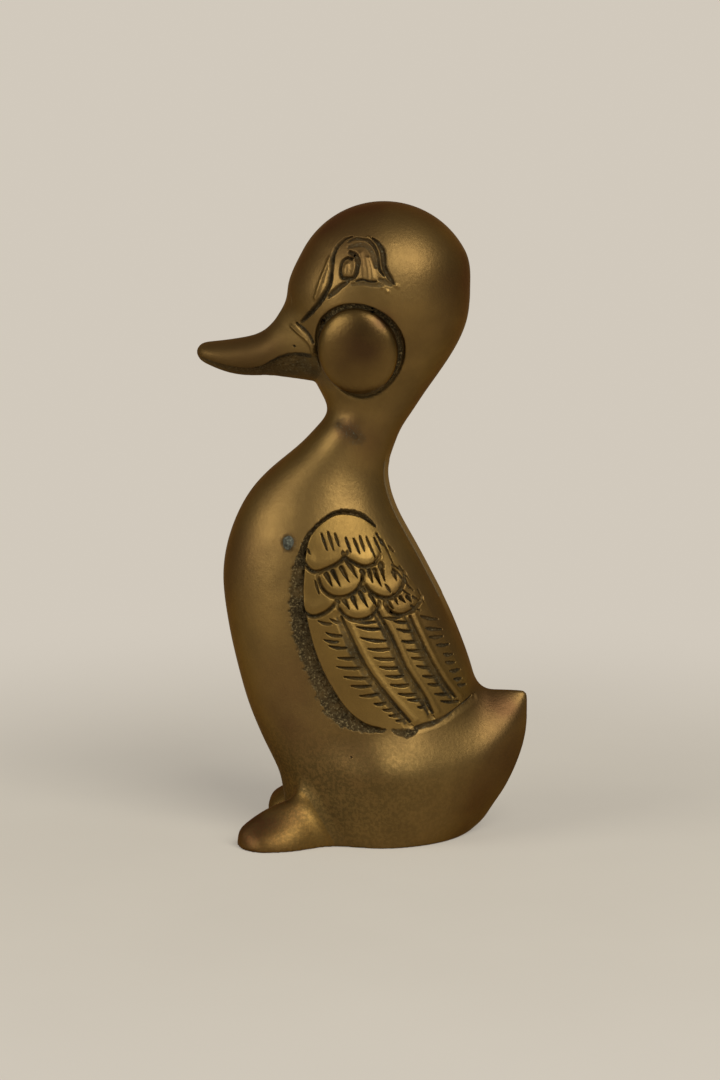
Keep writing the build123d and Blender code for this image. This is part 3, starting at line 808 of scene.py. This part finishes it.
class Relief:
    """Hand-cut detail at each point of the plain skin: height, depth, grime with some painted shade, and
    crust.
    """

    def __init__(self, p):
        self.p = p
        self.height, self.deepest, self.grime, self.crust = (np.zeros(len(p)) for _ in range(4))
        self.rough = sum(share * noise(p, size, seed) for share, size, seed in ROUGH)
        for line in swells:
            self.raise_swell(*line)
        for line in steps:
            self.sink_step(*line)
        for line in cuts:
            self.sink_cut(*line)
        self.seat_cheek()
        wear = WEAR + WEAR_CLOUD * noise(p, WEAR_SIZE, WEAR_SEED) + WEAR_CRUST * self.crust
        self.grime, self.crust = np.clip(self.grime * wear, 0, 1), np.clip(self.crust, 0, 1)
        self.rise = self.height - self.deepest

    def soil(self, i, amount, crusted):
        self.grime[i] = np.maximum(self.grime[i], amount)
        self.crust[i] = np.maximum(self.crust[i], amount * crusted)

    def sink(self, i, depth):
        self.deepest[i] = np.maximum(self.deepest[i], depth)

    def raise_swell(self, line, widths, tall):
        i = near_box(self.p, line, SWELL_REACH * widths.max())
        gap, width, _ = along_line(self.p[i], line, widths)
        self.height[i] += tall * np.exp(-((gap / width) ** 2))

    def sink_step(self, line, reaches, depth, sharp, dirt, crusted):
        i = near_box(self.p, line, reaches.max() + STEP_MARGIN)
        p, rough, gritty = self.p[i], self.rough[i], crusted * crusted
        gap, reach, side = along_line(p, line, reaches)
        beyond = gap * np.where(side >= 0, 1, -1)
        ends = np.minimum(*(np.linalg.norm(p - end, axis=1) for end in (line[0], line[-1])))
        whole = smooth_step(0.0, 1.0, ends / np.minimum(reach, END_REACH) + END_SHARE)
        edge = smooth_step(-sharp, sharp, beyond) * whole
        torn = np.maximum(beyond, 0) / reach * (1 + with_grit(STEP_TORN, gritty) * rough)
        left = 1 - smooth_step(with_grit(STEP_FLOOR, gritty), 1.0, torn)
        self.sink(i, depth * edge * left * (1 + with_grit(STEP_LUMPS, gritty) * rough * left))
        thins = DIRT_NEAR + DIRT_CRUSTED * crusted + DIRT_GRITTY * gritty
        dirty = 1 - smooth_step(thins, with_grit(STEP_CLEAN, gritty), torn)
        # Painted shade with dirt at the foot of the step's wall.
        dark = WALL_DIRT_AND_SHADE * gritty * (1 - smooth_step(*WALL_REACH, torn))
        self.soil(i, dirt * edge * dirty, crusted * (1 - dark))

    def sink_cut(self, line, widths, depth, dirt, crusted):
        i = near_box(self.p, line, CUT_REACH * widths.max() + CUT_MARGIN)
        gap, width, _ = along_line(self.p[i], line, widths)
        out = gap * (1 + with_grit(CUT_RAGGED, crusted * crusted) * self.rough[i]) / width
        lumps = CUT_LUMPS * self.rough[i] * smooth_step(*LUMPY_WIDTHS, width)
        self.sink(i, depth * (1 - smooth_step(*CUT_SIDES, out)) * (1 + lumps))
        self.soil(i, dirt * (1 - smooth_step(*CUT_DIRT, out)), crusted)

    def seat_cheek(self):
        """Keeps the cheek's button clean of cuts, fills the ring round it with grit, and paints grit and
        shade on the button's lower-left flank.
        """
        i = near_cheek(self.p)
        p, rough = self.p[i], self.rough[i]
        seat, button, face = dome(p, CHEEK_SEAT, CHEEK_SEAT_SIZE), cheek_field(p), face_field(p)
        on_button, on_face = button < face, face < button
        floor = (1 - smooth_step(*SEAT_EDGE, seat)) * on_face
        flank = (1 - smooth_step(*FLANK_RISE, face)) * ~on_face
        contact = (1 - smooth_step(*CONTACT, button)) * on_face
        corner = smooth_step(*CORNER_X, p[:, 0]) * (1 - smooth_step(*CORNER_Z, p[:, 2]))
        self.deepest[i] *= smooth_step(*CUTS_FADE, button) * (1 - CORNER_FADE * corner)
        self.deepest[i] += floor * (RING_DEPTH + RING_LUMPS * rough)
        for layer in (self.deepest, self.height, self.grime, self.crust):
            layer[i] = np.where(on_button, 0.0, layer[i])
        # The button's lower-left flank, turned down, is painted darker: grit and painted shade.
        q = p - CHEEK
        below = RIM_SIDE * q @ CHEEK_SIDE / CHEEK_SIZE[0] - RIM_UP * q @ CHEEK_UP / CHEEK_SIZE[1]
        low_rim = 1 - smooth_step(*RIM_RISE, q @ CHEEK_OUT + RIM_LUMPS * rough)
        rim = on_button * low_rim * smooth_step(*RIM_START, below)
        self.soil(i, np.maximum.reduce([floor, flank, contact, RIM_GRIT_AND_SHADE * rim]), RING_CRUST)


# Reddish-brown tarnish, with some spots of painted shade that darken highlights and reflections: pixel spots
# with a radius in pixels and a strength.
TARNISH_AND_SHADE = [
    (374, 198, 58, 0.85), (330, 225, 45, 0.5), (462, 285, 45, 0.6), (300, 268, 30, 0.4),
    # Painted shade: (366, 342) darkens the middle of the cheek's button and (384, 322) its upper right.
    (358, 262, 20, 0.35), (366, 342, 24, 0.9), (345, 362, 22, 0.5), (384, 322, 9, 0.9),
    (222, 344, 42, 0.8), (258, 340, 22, 0.5), (272, 347, 22, 0.5), (250, 356, 18, 0.4),
    # Painted shade: (508, 712) darkens the tail's ridge.
    (258, 830, 34, 1.0), (285, 808, 22, 0.5), (492, 697, 26, 0.8), (508, 712, 12, 0.5),
    (508, 750, 38, 0.6), (475, 800, 34, 0.5), (289, 543, 8, 0.9), (235, 565, 36, 0.5),
    (262, 470, 40, 0.5), (346, 428, 14, 1.0), (285, 690, 42, 0.5), (300, 740, 40, 0.35),
    (440, 620, 34, 0.4), (405, 590, 22, 0.3), (368, 445, 18, 0.5), (430, 395, 26, 0.35),
    (352, 765, 34, 0.4),
]
# Mottling of the spots and clouds between them: share, size and seed.
MOTTLE, MOTTLE_SIZE, MOTTLE_SEED = 0.35, 4.0, 21
CLOUD, CLOUD_SIZE, CLOUD_SEED = 0.12, 9.0, 23


def tarnish_and_shade(p):
    """Share of reddish-brown tarnishing and painted shade from 0 to 1."""
    total = np.zeros(len(p))
    for spot, (_, _, radius, strength) in zip(on_skin([t[:2] for t in TARNISH_AND_SHADE], whole_field), TARNISH_AND_SHADE):
        gap = np.linalg.norm(p - spot, axis=1) / (radius * PX)
        total += strength * np.exp(-gap * gap)
    mottled = total * (1 + MOTTLE * noise(p, MOTTLE_SIZE, MOTTLE_SEED))
    return np.clip(mottled + CLOUD * noise(p, CLOUD_SIZE, CLOUD_SEED), 0, 1)


def vertex_normals(points, tris):
    faces = face_normals(points, tris)
    total = np.zeros_like(points)
    for i in range(3):
        np.add.at(total, tris[:, i], faces)
    return total / np.maximum(np.linalg.norm(total, axis=1), 1e-12)[:, None]


CUT_ZONE, RING_ZONE = 1.3, 1.5
FINE_MARGINS = (1.6, 0.5)
MEDIAN_SNAP = 0.12


def detail_zone(p, margin):
    """Where the mesh is made finer: all cuts, edges and the rings round the cheeks, with a margin."""
    wanted = np.zeros(len(p), bool)
    for lines, share in ((cuts, CUT_ZONE), (steps, 1.0)):
        for line, widths, *_ in lines:
            i = near_box(p, line, margin + widths.max())
            i = i[~wanted[i]]
            gap, width, _ = along_line(p[i], line, widths)
            wanted[i[gap < share * width + margin]] = True
    i = near_cheek(p)
    in_seat = dome(p[i], CHEEK_SEAT, CHEEK_SEAT_SIZE) < margin
    on_skin_there = np.maximum(cheek_field(p[i]), face_field(p[i])) < RING_ZONE + margin
    wanted[i[in_seat & on_skin_there]] = True
    return wanted


def fine_skin():
    """The left half of the skin with its detail, as rows of data and triangles."""
    plain, tris = skin_mesh()
    plain = settle(plain)
    plain[np.abs(plain[:, Y]) < MEDIAN_SNAP, Y] = 0.0
    plain, tris = clip(plain, tris, plain[:, Y] - TINY)
    for margin in FINE_MARGINS:
        plain, tris = refine(plain, tris, detail_zone(plain, margin))
        on_median = np.abs(plain[:, Y]) < ON_MEDIAN
        plain = np.where(on_median[:, None], plain, settle(plain, 2))
    plain_normal = unit(slope_of(plain))
    relief = Relief(plain)
    points = plain + plain_normal * relief.rise[:, None]
    normal = vertex_normals(points, tris)
    on_median = np.abs(plain[:, Y]) < ON_MEDIAN
    points[on_median, Y] = 0.0
    normal[on_median, Y] = 0.0
    # The dressed band beside the back's joint, painted lighter as a sheen of the pale backdrop.
    dressed_sheen = on_back(plain) * smooth_step(0.0, BAND_FADE, BACK_BAND + plain[:, Y])
    data = [points, unit(normal), relief.grime, plain_normal, plain, tarnish_and_shade(plain), relief.crust, dressed_sheen]
    return np.column_stack(data), tris


# Split of the skin into the pieces that stand for the CAD nodes


def inside_line(p, line):
    """Signed distance in the XZ plane from a closed line, negative inside."""
    a = line[:, [0, 2]]
    b = np.roll(a, -1, axis=0)
    best = np.full(len(p), np.inf)
    odd = np.zeros(len(p), bool)
    q = p[:, [0, 2]]
    for s, e in zip(a, b):
        best = np.minimum(best, to_segment(q, s, e)[1])
        cross = (s[1] > q[:, 1]) != (e[1] > q[:, 1])
        odd ^= cross & (q[:, 0] < (e[0] - s[0]) * (q[:, 1] - s[1]) / (e[1] - s[1] + 1e-12) + s[0])
    return np.where(odd, -best, best)


WING_FINER = 6
# The wing, the bill and the plug keep to their own part of the skin; levels are positive elsewhere.
WING_INNER_Y, BILL_BACK_X, ELSEWHERE_WING, ELSEWHERE_BILL = -4, -6, 40, 9.0
PLUG_SCALE, PLUG_RAGGED, PLUG_LUMP_SIZE, PLUG_SEED = 1.4, 0.2, 0.8, 11
BACK_BRAZE = 0.25
corners = on_skin(WING_EDGE)
spread = np.linspace(0, len(corners), WING_FINER * len(corners), endpoint=False)
closed = np.vstack([corners, corners[:1]])
WING_LINE = np.column_stack([np.interp(spread, np.arange(len(closed)), closed[:, i]) for i in range(3)])


def wing_level(p):
    return inside_line(p, WING_LINE) + ELSEWHERE_WING * (p[:, 1] > WING_INNER_Y)


def cheek_level(p):
    return cheek_field(p) - face_field(p)


def bill_level(p):
    return np.where(p[:, 0] > BILL_BACK_X, ELSEWHERE_BILL, bill_field(p) - torso_field(p))


def foot_level(p):
    return foot_field(p) - torso_field(p)


def plug_level(p):
    out = np.linalg.norm((p - PLUG) / PLUG_SIZE, axis=1) - 1
    return PLUG_SCALE * out + PLUG_RAGGED * noise(p, PLUG_LUMP_SIZE, PLUG_SEED)


def skin_without_plug(data):
    """The skin as it is before the vent plug and its dish are made."""
    data = data.copy()
    plugged = np.linalg.norm(data[:, PLAIN] - PLUG, axis=1) < PLUG_REACH
    data[plugged, POINT] = data[plugged, PLAIN]
    data[plugged, NORMAL] = data[plugged, PLAIN_NORMAL]
    for layer in ("grime", "crust"):
        data[plugged, LAYERS[layer]] = 0.0
    return data


def take(data, tris, level):
    """Splits a mesh into the region where a level is negative and the rest."""
    values = level(data[:, PLAIN])
    return clip(data, tris, values), clip(data, tris, -values - TINY)


def seam_edge(data):
    """How far out the braze reaches: wider along the back, where the joint was smoothed and is painted
    lighter as a sheen.
    """
    return SEAM + BACK_BRAZE * on_back(data[:, PLAIN])


def away_from_seam(data, tris):
    return clip(data, tris, data[:, Y] + seam_edge(data))


rest = fine_skin()
patches = {}
for name, level in (("wing", wing_level), ("cheek", cheek_level), ("bill", bill_level), ("foot", foot_level)):
    patches[name], rest = take(*rest, level)
patches["seam"] = clip(*rest, -seam_edge(rest[0]) - rest[0][:, Y])
patches["whole_half"] = away_from_seam(skin_without_plug(rest[0]), rest[1])
patches["plug"], rest = take(*rest, plug_level)
patches["half"] = away_from_seam(*rest)


# Materials


def put(tree, socket, value):
    """Links an output to a socket, or sets the socket to a number or colour."""
    if isinstance(value, bpy.types.NodeSocket):
        tree.links.new(value, socket)
    else:
        socket.default_value = (*value, 1.0) if socket.type == "RGBA" else value


def node(tree, kind, inputs, **settings):
    """A new node, its settings first, then its inputs by name or number."""
    made = tree.nodes.new(kind)
    for name, value in settings.items():
        setattr(made, name, value)
    for socket, value in inputs.items():
        put(tree, made.inputs[socket], value)
    return made


def place_in(tree, output="Object"):
    return node(tree, "ShaderNodeTexCoord", {}).outputs[output]


def split(tree, vector):
    return node(tree, "ShaderNodeSeparateXYZ", {"Vector": vector}).outputs


def noise_in(tree, place, scale, detail, roughness=0.5):
    inputs = {"Vector": place, "Scale": scale, "Detail": detail, "Roughness": roughness}
    return node(tree, "ShaderNodeTexNoise", inputs).outputs["Fac"]


def layer_in(tree, name):
    return node(tree, "ShaderNodeAttribute", {}, attribute_name=name).outputs["Fac"]


def maths(tree, operation, *values):
    return node(tree, "ShaderNodeMath", dict(enumerate(values)), operation=operation).outputs["Value"]


def map_range(tree, value, start, end, ease="LINEAR"):
    """Maps a value from one (low, high) pair to another."""
    inputs = {"Value": value, "From Min": start[0], "From Max": start[1], "To Min": end[0], "To Max": end[1]}
    return node(tree, "ShaderNodeMapRange", inputs, interpolation_type=ease).outputs["Result"]


def ramp(tree, value, *stops):
    """Colours along a value, as stops of a position and a colour."""
    made = node(tree, "ShaderNodeValToRGB", {"Fac": value})
    elements = made.color_ramp.elements
    while len(elements) < len(stops):
        elements.new(0.5)
    for element, (position, colour) in zip(elements, stops):
        element.position = position
        element.color = (*colour, 1.0)
    return made.outputs["Color"]


def mixed(tree, share, first, second):
    inputs = {"Factor": share, "A": first, "B": second}
    return node(tree, "ShaderNodeMix", inputs, data_type="RGBA").outputs["Result"]


def new_material(name):
    material = bpy.data.materials.new(name)
    material.use_nodes = True
    tree = material.node_tree
    return material, tree, tree.nodes["Principled BSDF"]


def grey(level):
    return (level, level, level)


UNIT = (0.0, 1.0)
EDGE_TINT = (0.45, 0.33, 0.18)
# Lighter brass of the dressed band along the back, painted as the sheen of the pale backdrop; then the olive
# speckle.
FILED_SHEEN, SPECK = (0.30, 0.205, 0.10), (0.075, 0.052, 0.018)
BUMP_DEPTH = 0.0004
# Olive speckle: its share by height above the floor in metres, and from the breast to the tail.
SPECKLE_BY_HEIGHT = [(0.0, grey(0.45)), (0.006, grey(0.8)), (0.018, grey(1.0)), (0.032, grey(0.0))]
SPECKLE_ALONG, TAIL_SPECKLE = (-0.004, 0.024), 0.25
DIRT_TONES = [(0.38, (0.016, 0.010, 0.005)), (0.6, (0.044, 0.033, 0.018)), (0.72, (0.11, 0.112, 0.084))]
CRUST_TONES = [
    (0.40, (0.026, 0.018, 0.009)), (0.52, (0.056, 0.039, 0.018)), (0.59, (0.10, 0.071, 0.032)),
    (0.67, (0.24, 0.176, 0.08)),
]
# Dirt breaks up by the crumbs' share; dirt and specks are duller and dirt is less metallic.
CRUMB_SHARE, DIRT_SPAN, METALLIC = 0.6, (0.42, 1.2), (0.93, 0.55)
DIRT_DULL, SPECK_DULL = 0.32, 0.12
BRUSH_SCALE, BRUSH_SHARE, WEAR_SPAN, WEAR_ROUGH = (1400.0, 1400.0, 90.0), 0.35, (0.47, 0.88), 0.05


def speckle_in(tree, place, grain, speckle):
    """Share of olive speckle: most a little above the floor, less towards the tail."""
    x, _, z = split(tree, place)
    specks = ramp(tree, grain, (0.44, grey(1.0)), (0.58, grey(0.0)))
    low_down = maths(tree, "MULTIPLY", specks, ramp(tree, z, *SPECKLE_BY_HEIGHT))
    to_tail = map_range(tree, x, SPECKLE_ALONG, (speckle, TAIL_SPECKLE * speckle))
    return maths(tree, "MULTIPLY", low_down, to_tail)


def brass(name, bright, dull, brown, rough, speckle):
    """Brass with cloudy tone, reddish-brown tarnishing with some painted shade, a band along the back painted
    lighter as a sheen, olive speckle near the floor and grime in the cuts.
    """
    material, tree, shader = new_material(name)
    place = place_in(tree)
    cloud = noise_in(tree, place, 70.0, 6.0, 0.6)
    grain = noise_in(tree, place, 1150.0, 4.0, 0.65)
    crumbs = noise_in(tree, place, 2100.0, 3.0, 0.6)
    specks = speckle_in(tree, place, grain, speckle)
    tone = ramp(tree, cloud, (0.34, dull), (0.64, bright))
    # Brown of the tarnish and of the painted shade spots, then the back's band painted lighter as a sheen.
    warm = mixed(tree, layer_in(tree, "brown"), tone, brown)
    filed_sheen = mixed(tree, layer_in(tree, "dressed_sheen"), warm, FILED_SHEEN)
    spotted = mixed(tree, specks, filed_sheen, SPECK)
    broken = maths(tree, "MULTIPLY_ADD", crumbs, CRUMB_SHARE, layer_in(tree, "grime"))
    patchy = map_range(tree, broken, DIRT_SPAN, UNIT)
    dirt_tone, crust_tone = (ramp(tree, crumbs, *tones) for tones in (DIRT_TONES, CRUST_TONES))
    dirt = mixed(tree, layer_in(tree, "crust"), dirt_tone, crust_tone)
    put(tree, shader.inputs["Base Color"], mixed(tree, patchy, spotted, dirt))
    put(tree, shader.inputs["Specular Tint"], EDGE_TINT)
    stretch = node(tree, "ShaderNodeMapping", {"Vector": place, "Scale": BRUSH_SCALE})
    brushed = noise_in(tree, stretch.outputs["Vector"], 1.0, 3.0, 0.6)
    wear = maths(tree, "MULTIPLY_ADD", brushed, BRUSH_SHARE, cloud)
    worn = map_range(tree, wear, WEAR_SPAN, (rough + WEAR_ROUGH, rough - WEAR_ROUGH))
    dull_dirt = maths(tree, "MULTIPLY_ADD", patchy, DIRT_DULL, worn)
    put(tree, shader.inputs["Roughness"], maths(tree, "MULTIPLY_ADD", specks, SPECK_DULL, dull_dirt))
    put(tree, shader.inputs["Metallic"], map_range(tree, patchy, UNIT, METALLIC))
    bump = node(tree, "ShaderNodeBump", {"Height": grain, "Strength": 0.16, "Distance": BUMP_DEPTH})
    put(tree, shader.inputs["Normal"], bump.outputs["Normal"])
    return material


BRIGHT, DULL, BROWN = (0.213, 0.130, 0.043), (0.147, 0.090, 0.031), (0.118, 0.060, 0.024)
# Brass of each slot: name, bright, dull and tarnished colour, roughness and share of speckle.
BRASSES = {
    "body": ("tarnished_brass", BRIGHT, DULL, BROWN, 0.45, 0.7),
    # The braze is lighter brass; along the back its lighter colour is also a painted sheen.
    "braze": ("dressed_braze", (0.25, 0.155, 0.05), (0.18, 0.11, 0.034), (0.13, 0.07, 0.025), 0.46, 0.5),
    "bill": ("bill_brass", (0.165, 0.101, 0.033), (0.127, 0.078, 0.026), (0.112, 0.064, 0.023), 0.6, 0.2),
    "cheek": ("cheek_brass", (0.18, 0.108, 0.034), (0.125, 0.075, 0.023), (0.07, 0.037, 0.015), 0.34, 0.2),
    "wing": ("cut_brass", (0.24, 0.145, 0.041), (0.18, 0.107, 0.031), BROWN, 0.45, 0.2),
    "foot": ("foot_brass", (0.225, 0.130, 0.035), (0.165, 0.092, 0.025), (0.10, 0.045, 0.017), 0.45, 0.5),
}
looks = {f"brass_{part}": brass(*look) for part, look in BRASSES.items()}
SOLDER_TONES = [(0.35, (0.022, 0.022, 0.016)), (0.52, (0.06, 0.06, 0.045)), (0.68, (0.15, 0.156, 0.122))]


def solder_look():
    """Rough grey-green solder."""
    material, tree, shader = new_material("grey_solder")
    lumps = noise_in(tree, place_in(tree), 1500.0, 5.0, 0.65)
    put(tree, shader.inputs["Metallic"], 0.55)
    put(tree, shader.inputs["Base Color"], ramp(tree, lumps, *SOLDER_TONES))
    put(tree, shader.inputs["Roughness"], map_range(tree, lumps, UNIT, (0.5, 0.8)))
    bump = node(tree, "ShaderNodeBump", {"Height": lumps, "Strength": 0.5, "Distance": BUMP_DEPTH})
    put(tree, shader.inputs["Normal"], bump.outputs["Normal"])
    return material


looks["solder"] = solder_look()


# Pieces, each standing for one CAD node

# Set-back of the right foot: back and down, in the heights, widths and lengths where it works.
FOOT_SET_BACK, FOOT_LOWER = 2.2, 0.14
SET_BACK_Z, SET_BACK_Y, SET_BACK_X = (10.0, 24.0), (2.0, 9.0), (-14.0, 2.0)
HALF_WALL, BILL_WALL, PLUG_WALL = 1.6, 0.5, 1.5
SIDE_WALLS = {"cheek": 1.5, "wing": 1.3, "foot": 1.2}


def piece(name, mesh_data, slot, *nodes):
    """A Blender object from arrays, standing for CAD nodes."""
    data, faces = mesh_data
    mesh = bpy.data.meshes.new(name)
    mesh.from_pydata((data[:, POINT] * MM).tolist(), [], faces.tolist())
    mesh.validate(clean_customdata=False)
    mesh.polygons.foreach_set("use_smooth", np.ones(len(mesh.polygons), bool))
    for layer, column in LAYERS.items():
        attribute = mesh.attributes.new(layer, "FLOAT", "POINT")
        attribute.data.foreach_set("value", data[:, column].astype(np.float32))
    mesh.normals_split_custom_set_from_vertices(data[:, NORMAL].tolist())
    mesh.materials.append(looks[slot])
    made = bpy.data.objects.new(name, mesh)
    bpy.context.scene.collection.objects.link(made)
    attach(made, "root")
    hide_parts(*nodes)
    return made


def set_back(data, faces):
    """The right foot stands a little further back than the left one."""
    data = data.copy()
    low = 1 - smooth_step(*SET_BACK_Z, data[:, 2])
    outer = smooth_step(*SET_BACK_Y, data[:, 1])
    front = 1 - smooth_step(*SET_BACK_X, data[:, 0])
    data[:, 0] += FOOT_SET_BACK * low * outer * front
    data[:, 2] *= 1 - FOOT_LOWER * low * outer * front
    return data, faces


piece("left_half_skin", solid(*patches["half"], HALF_WALL, -SEAM), "brass_body", "left_body_half")
whole_half = solid(*patches["whole_half"], HALF_WALL, -SEAM)
piece("right_half_skin", set_back(*mirrored(*whole_half)), "brass_body", "right_body_half")
piece("seam_line", solid(*welded(*patches["seam"]), HALF_WALL, None), "brass_braze", "braze_seam")
piece("bill_skin", solid(*welded(*patches["bill"]), BILL_WALL, None), "brass_bill", "bill")
for part, thickness in SIDE_WALLS.items():
    closed = solid(*patches[part], thickness, -SEAM)
    piece(f"left_{part}_skin", closed, f"brass_{part}", f"left_{part}")
    piece(f"right_{part}_skin", set_back(*mirrored(*closed)), f"brass_{part}", f"right_{part}")
piece("plug_skin", solid(*patches["plug"], PLUG_WALL, -SEAM), "solder", "vent_plug")


# Floor, light and camera, in metres

FLOOR_HALF = 6.0
PAPER, PAPER_DARK = (0.64, 0.585, 0.505), (0.60, 0.545, 0.47)
# Directions in which a backdrop hangs, by how far they point away from the camera.
BACKDROP = (0.4, 0.9)
# The floor fades into plain paper away from the duck.
FLOOR_FADE, FLOOR_SHARE = (0.03, 0.32), (0.42, 1.0)
ROOM, CEILING = (0.125, 0.121, 0.116), (0.21, 0.203, 0.194)


def paper_seen(tree, direction):
    """Camera rays see pale paper everywhere; glossy and clear rays see it where a backdrop hangs."""
    path = node(tree, "ShaderNodeLightPath", {}).outputs
    share = map_range(tree, split(tree, direction)["Y"], BACKDROP, UNIT)
    mirror, clear = (
        maths(tree, "MULTIPLY", path[ray], share) for ray in ("Is Glossy Ray", "Is Transmission Ray")
    )
    return maths(tree, "MAXIMUM", path["Is Camera Ray"], maths(tree, "MAXIMUM", mirror, clear))


def blended(tree, share, first, second):
    return node(tree, "ShaderNodeMixShader", {0: share, 1: first.outputs[0], 2: second.outputs[0]}).outputs[0]


def paper_look():
    """Pale flecked paper that fades into a plain backdrop."""
    material, tree, sheet = new_material("pale_paper")
    place = place_in(tree)
    put(tree, sheet.inputs["Roughness"], 0.75)
    put(tree, sheet.inputs["Specular IOR Level"], 0.2)
    fleck = noise_in(tree, place, 14.0, 4.0)
    put(tree, sheet.inputs["Base Color"], ramp(tree, fleck, (0.3, PAPER_DARK), (0.7, PAPER)))
    outward = node(tree, "ShaderNodeVectorMath", {0: place}, operation="NORMALIZE").outputs[0]
    distance = node(tree, "ShaderNodeVectorMath", {0: place}, operation="LENGTH").outputs["Value"]
    fade = map_range(tree, distance, FLOOR_FADE, FLOOR_SHARE, "SMOOTHERSTEP")
    share = maths(tree, "MULTIPLY", fade, paper_seen(tree, outward))
    plain = node(tree, "ShaderNodeEmission", {"Color": PAPER, "Strength": 1.0})
    put(tree, tree.nodes["Material Output"].inputs["Surface"], blended(tree, share, sheet, plain))
    return material


floor_mesh = bpy.data.meshes.new("floor")
floor_corners = [(x * FLOOR_HALF, y * FLOOR_HALF, 0) for x, y in ((-1, -1), (1, -1), (1, 1), (-1, 1))]
floor_mesh.from_pydata(floor_corners, [], [(0, 1, 2, 3)])
floor = bpy.data.objects.new("floor", floor_mesh)
bpy.context.scene.collection.objects.link(floor)
floor_mesh.materials.append(paper_look())


def studio_world():
    """An even dim room, a little lighter above, with the paper seen behind the duck."""
    world = bpy.data.worlds.new("studio")
    world.use_nodes = True
    tree = world.node_tree
    tree.nodes.clear()
    direction = place_in(tree, "Generated")
    room = ramp(tree, split(tree, direction)["Z"], (0.0, ROOM), (0.35, ROOM), (0.8, CEILING))
    glow, paper = (
        node(tree, "ShaderNodeBackground", {"Color": colour, "Strength": 1.0}) for colour in (room, PAPER)
    )
    seen = blended(tree, paper_seen(tree, direction), glow, paper)
    node(tree, "ShaderNodeOutputWorld", {"Surface": seen})
    return world


bpy.context.scene.world = studio_world()


def soft_light(name, place, aim, size, power, colour):
    light = bpy.data.lights.new(name, "AREA")
    light.shape = "RECTANGLE"
    light.size, light.size_y = size
    light.energy = power
    light.color = colour
    made = bpy.data.objects.new(name, light)
    made.location = place
    made.rotation_euler = (Vector(aim) - Vector(place)).to_track_quat("-Z", "Y").to_euler()
    bpy.context.scene.collection.objects.link(made)


AIM, WARM_WHITE = (0, 0, 0.07), (1.0, 0.995, 0.915)
soft_light("right_box", (0.62, -0.82, 0.92), AIM, (0.9, 0.9), 15.4, WARM_WHITE)
soft_light("left_box", (-1.06, -0.70, 0.56), AIM, (0.8, 0.8), 8.6, WARM_WHITE)

SENSOR = 36.0
camera_data = bpy.data.cameras.new("photo_camera")
camera_data.sensor_fit = "VERTICAL"
camera_data.sensor_height = SENSOR
camera_data.lens = FOCAL * SENSOR / FRAME_H
camera_data.clip_start = 0.01
camera = bpy.data.objects.new("photo_camera", camera_data)
camera.location = Vector(CAMERA_AT * MM)
camera.rotation_euler = Matrix((RIGHT, UP, BACK)).transposed().to_euler()
bpy.context.scene.collection.objects.link(camera)
bpy.context.scene.camera = camera
bpy.context.scene.view_settings.view_transform = "Standard"
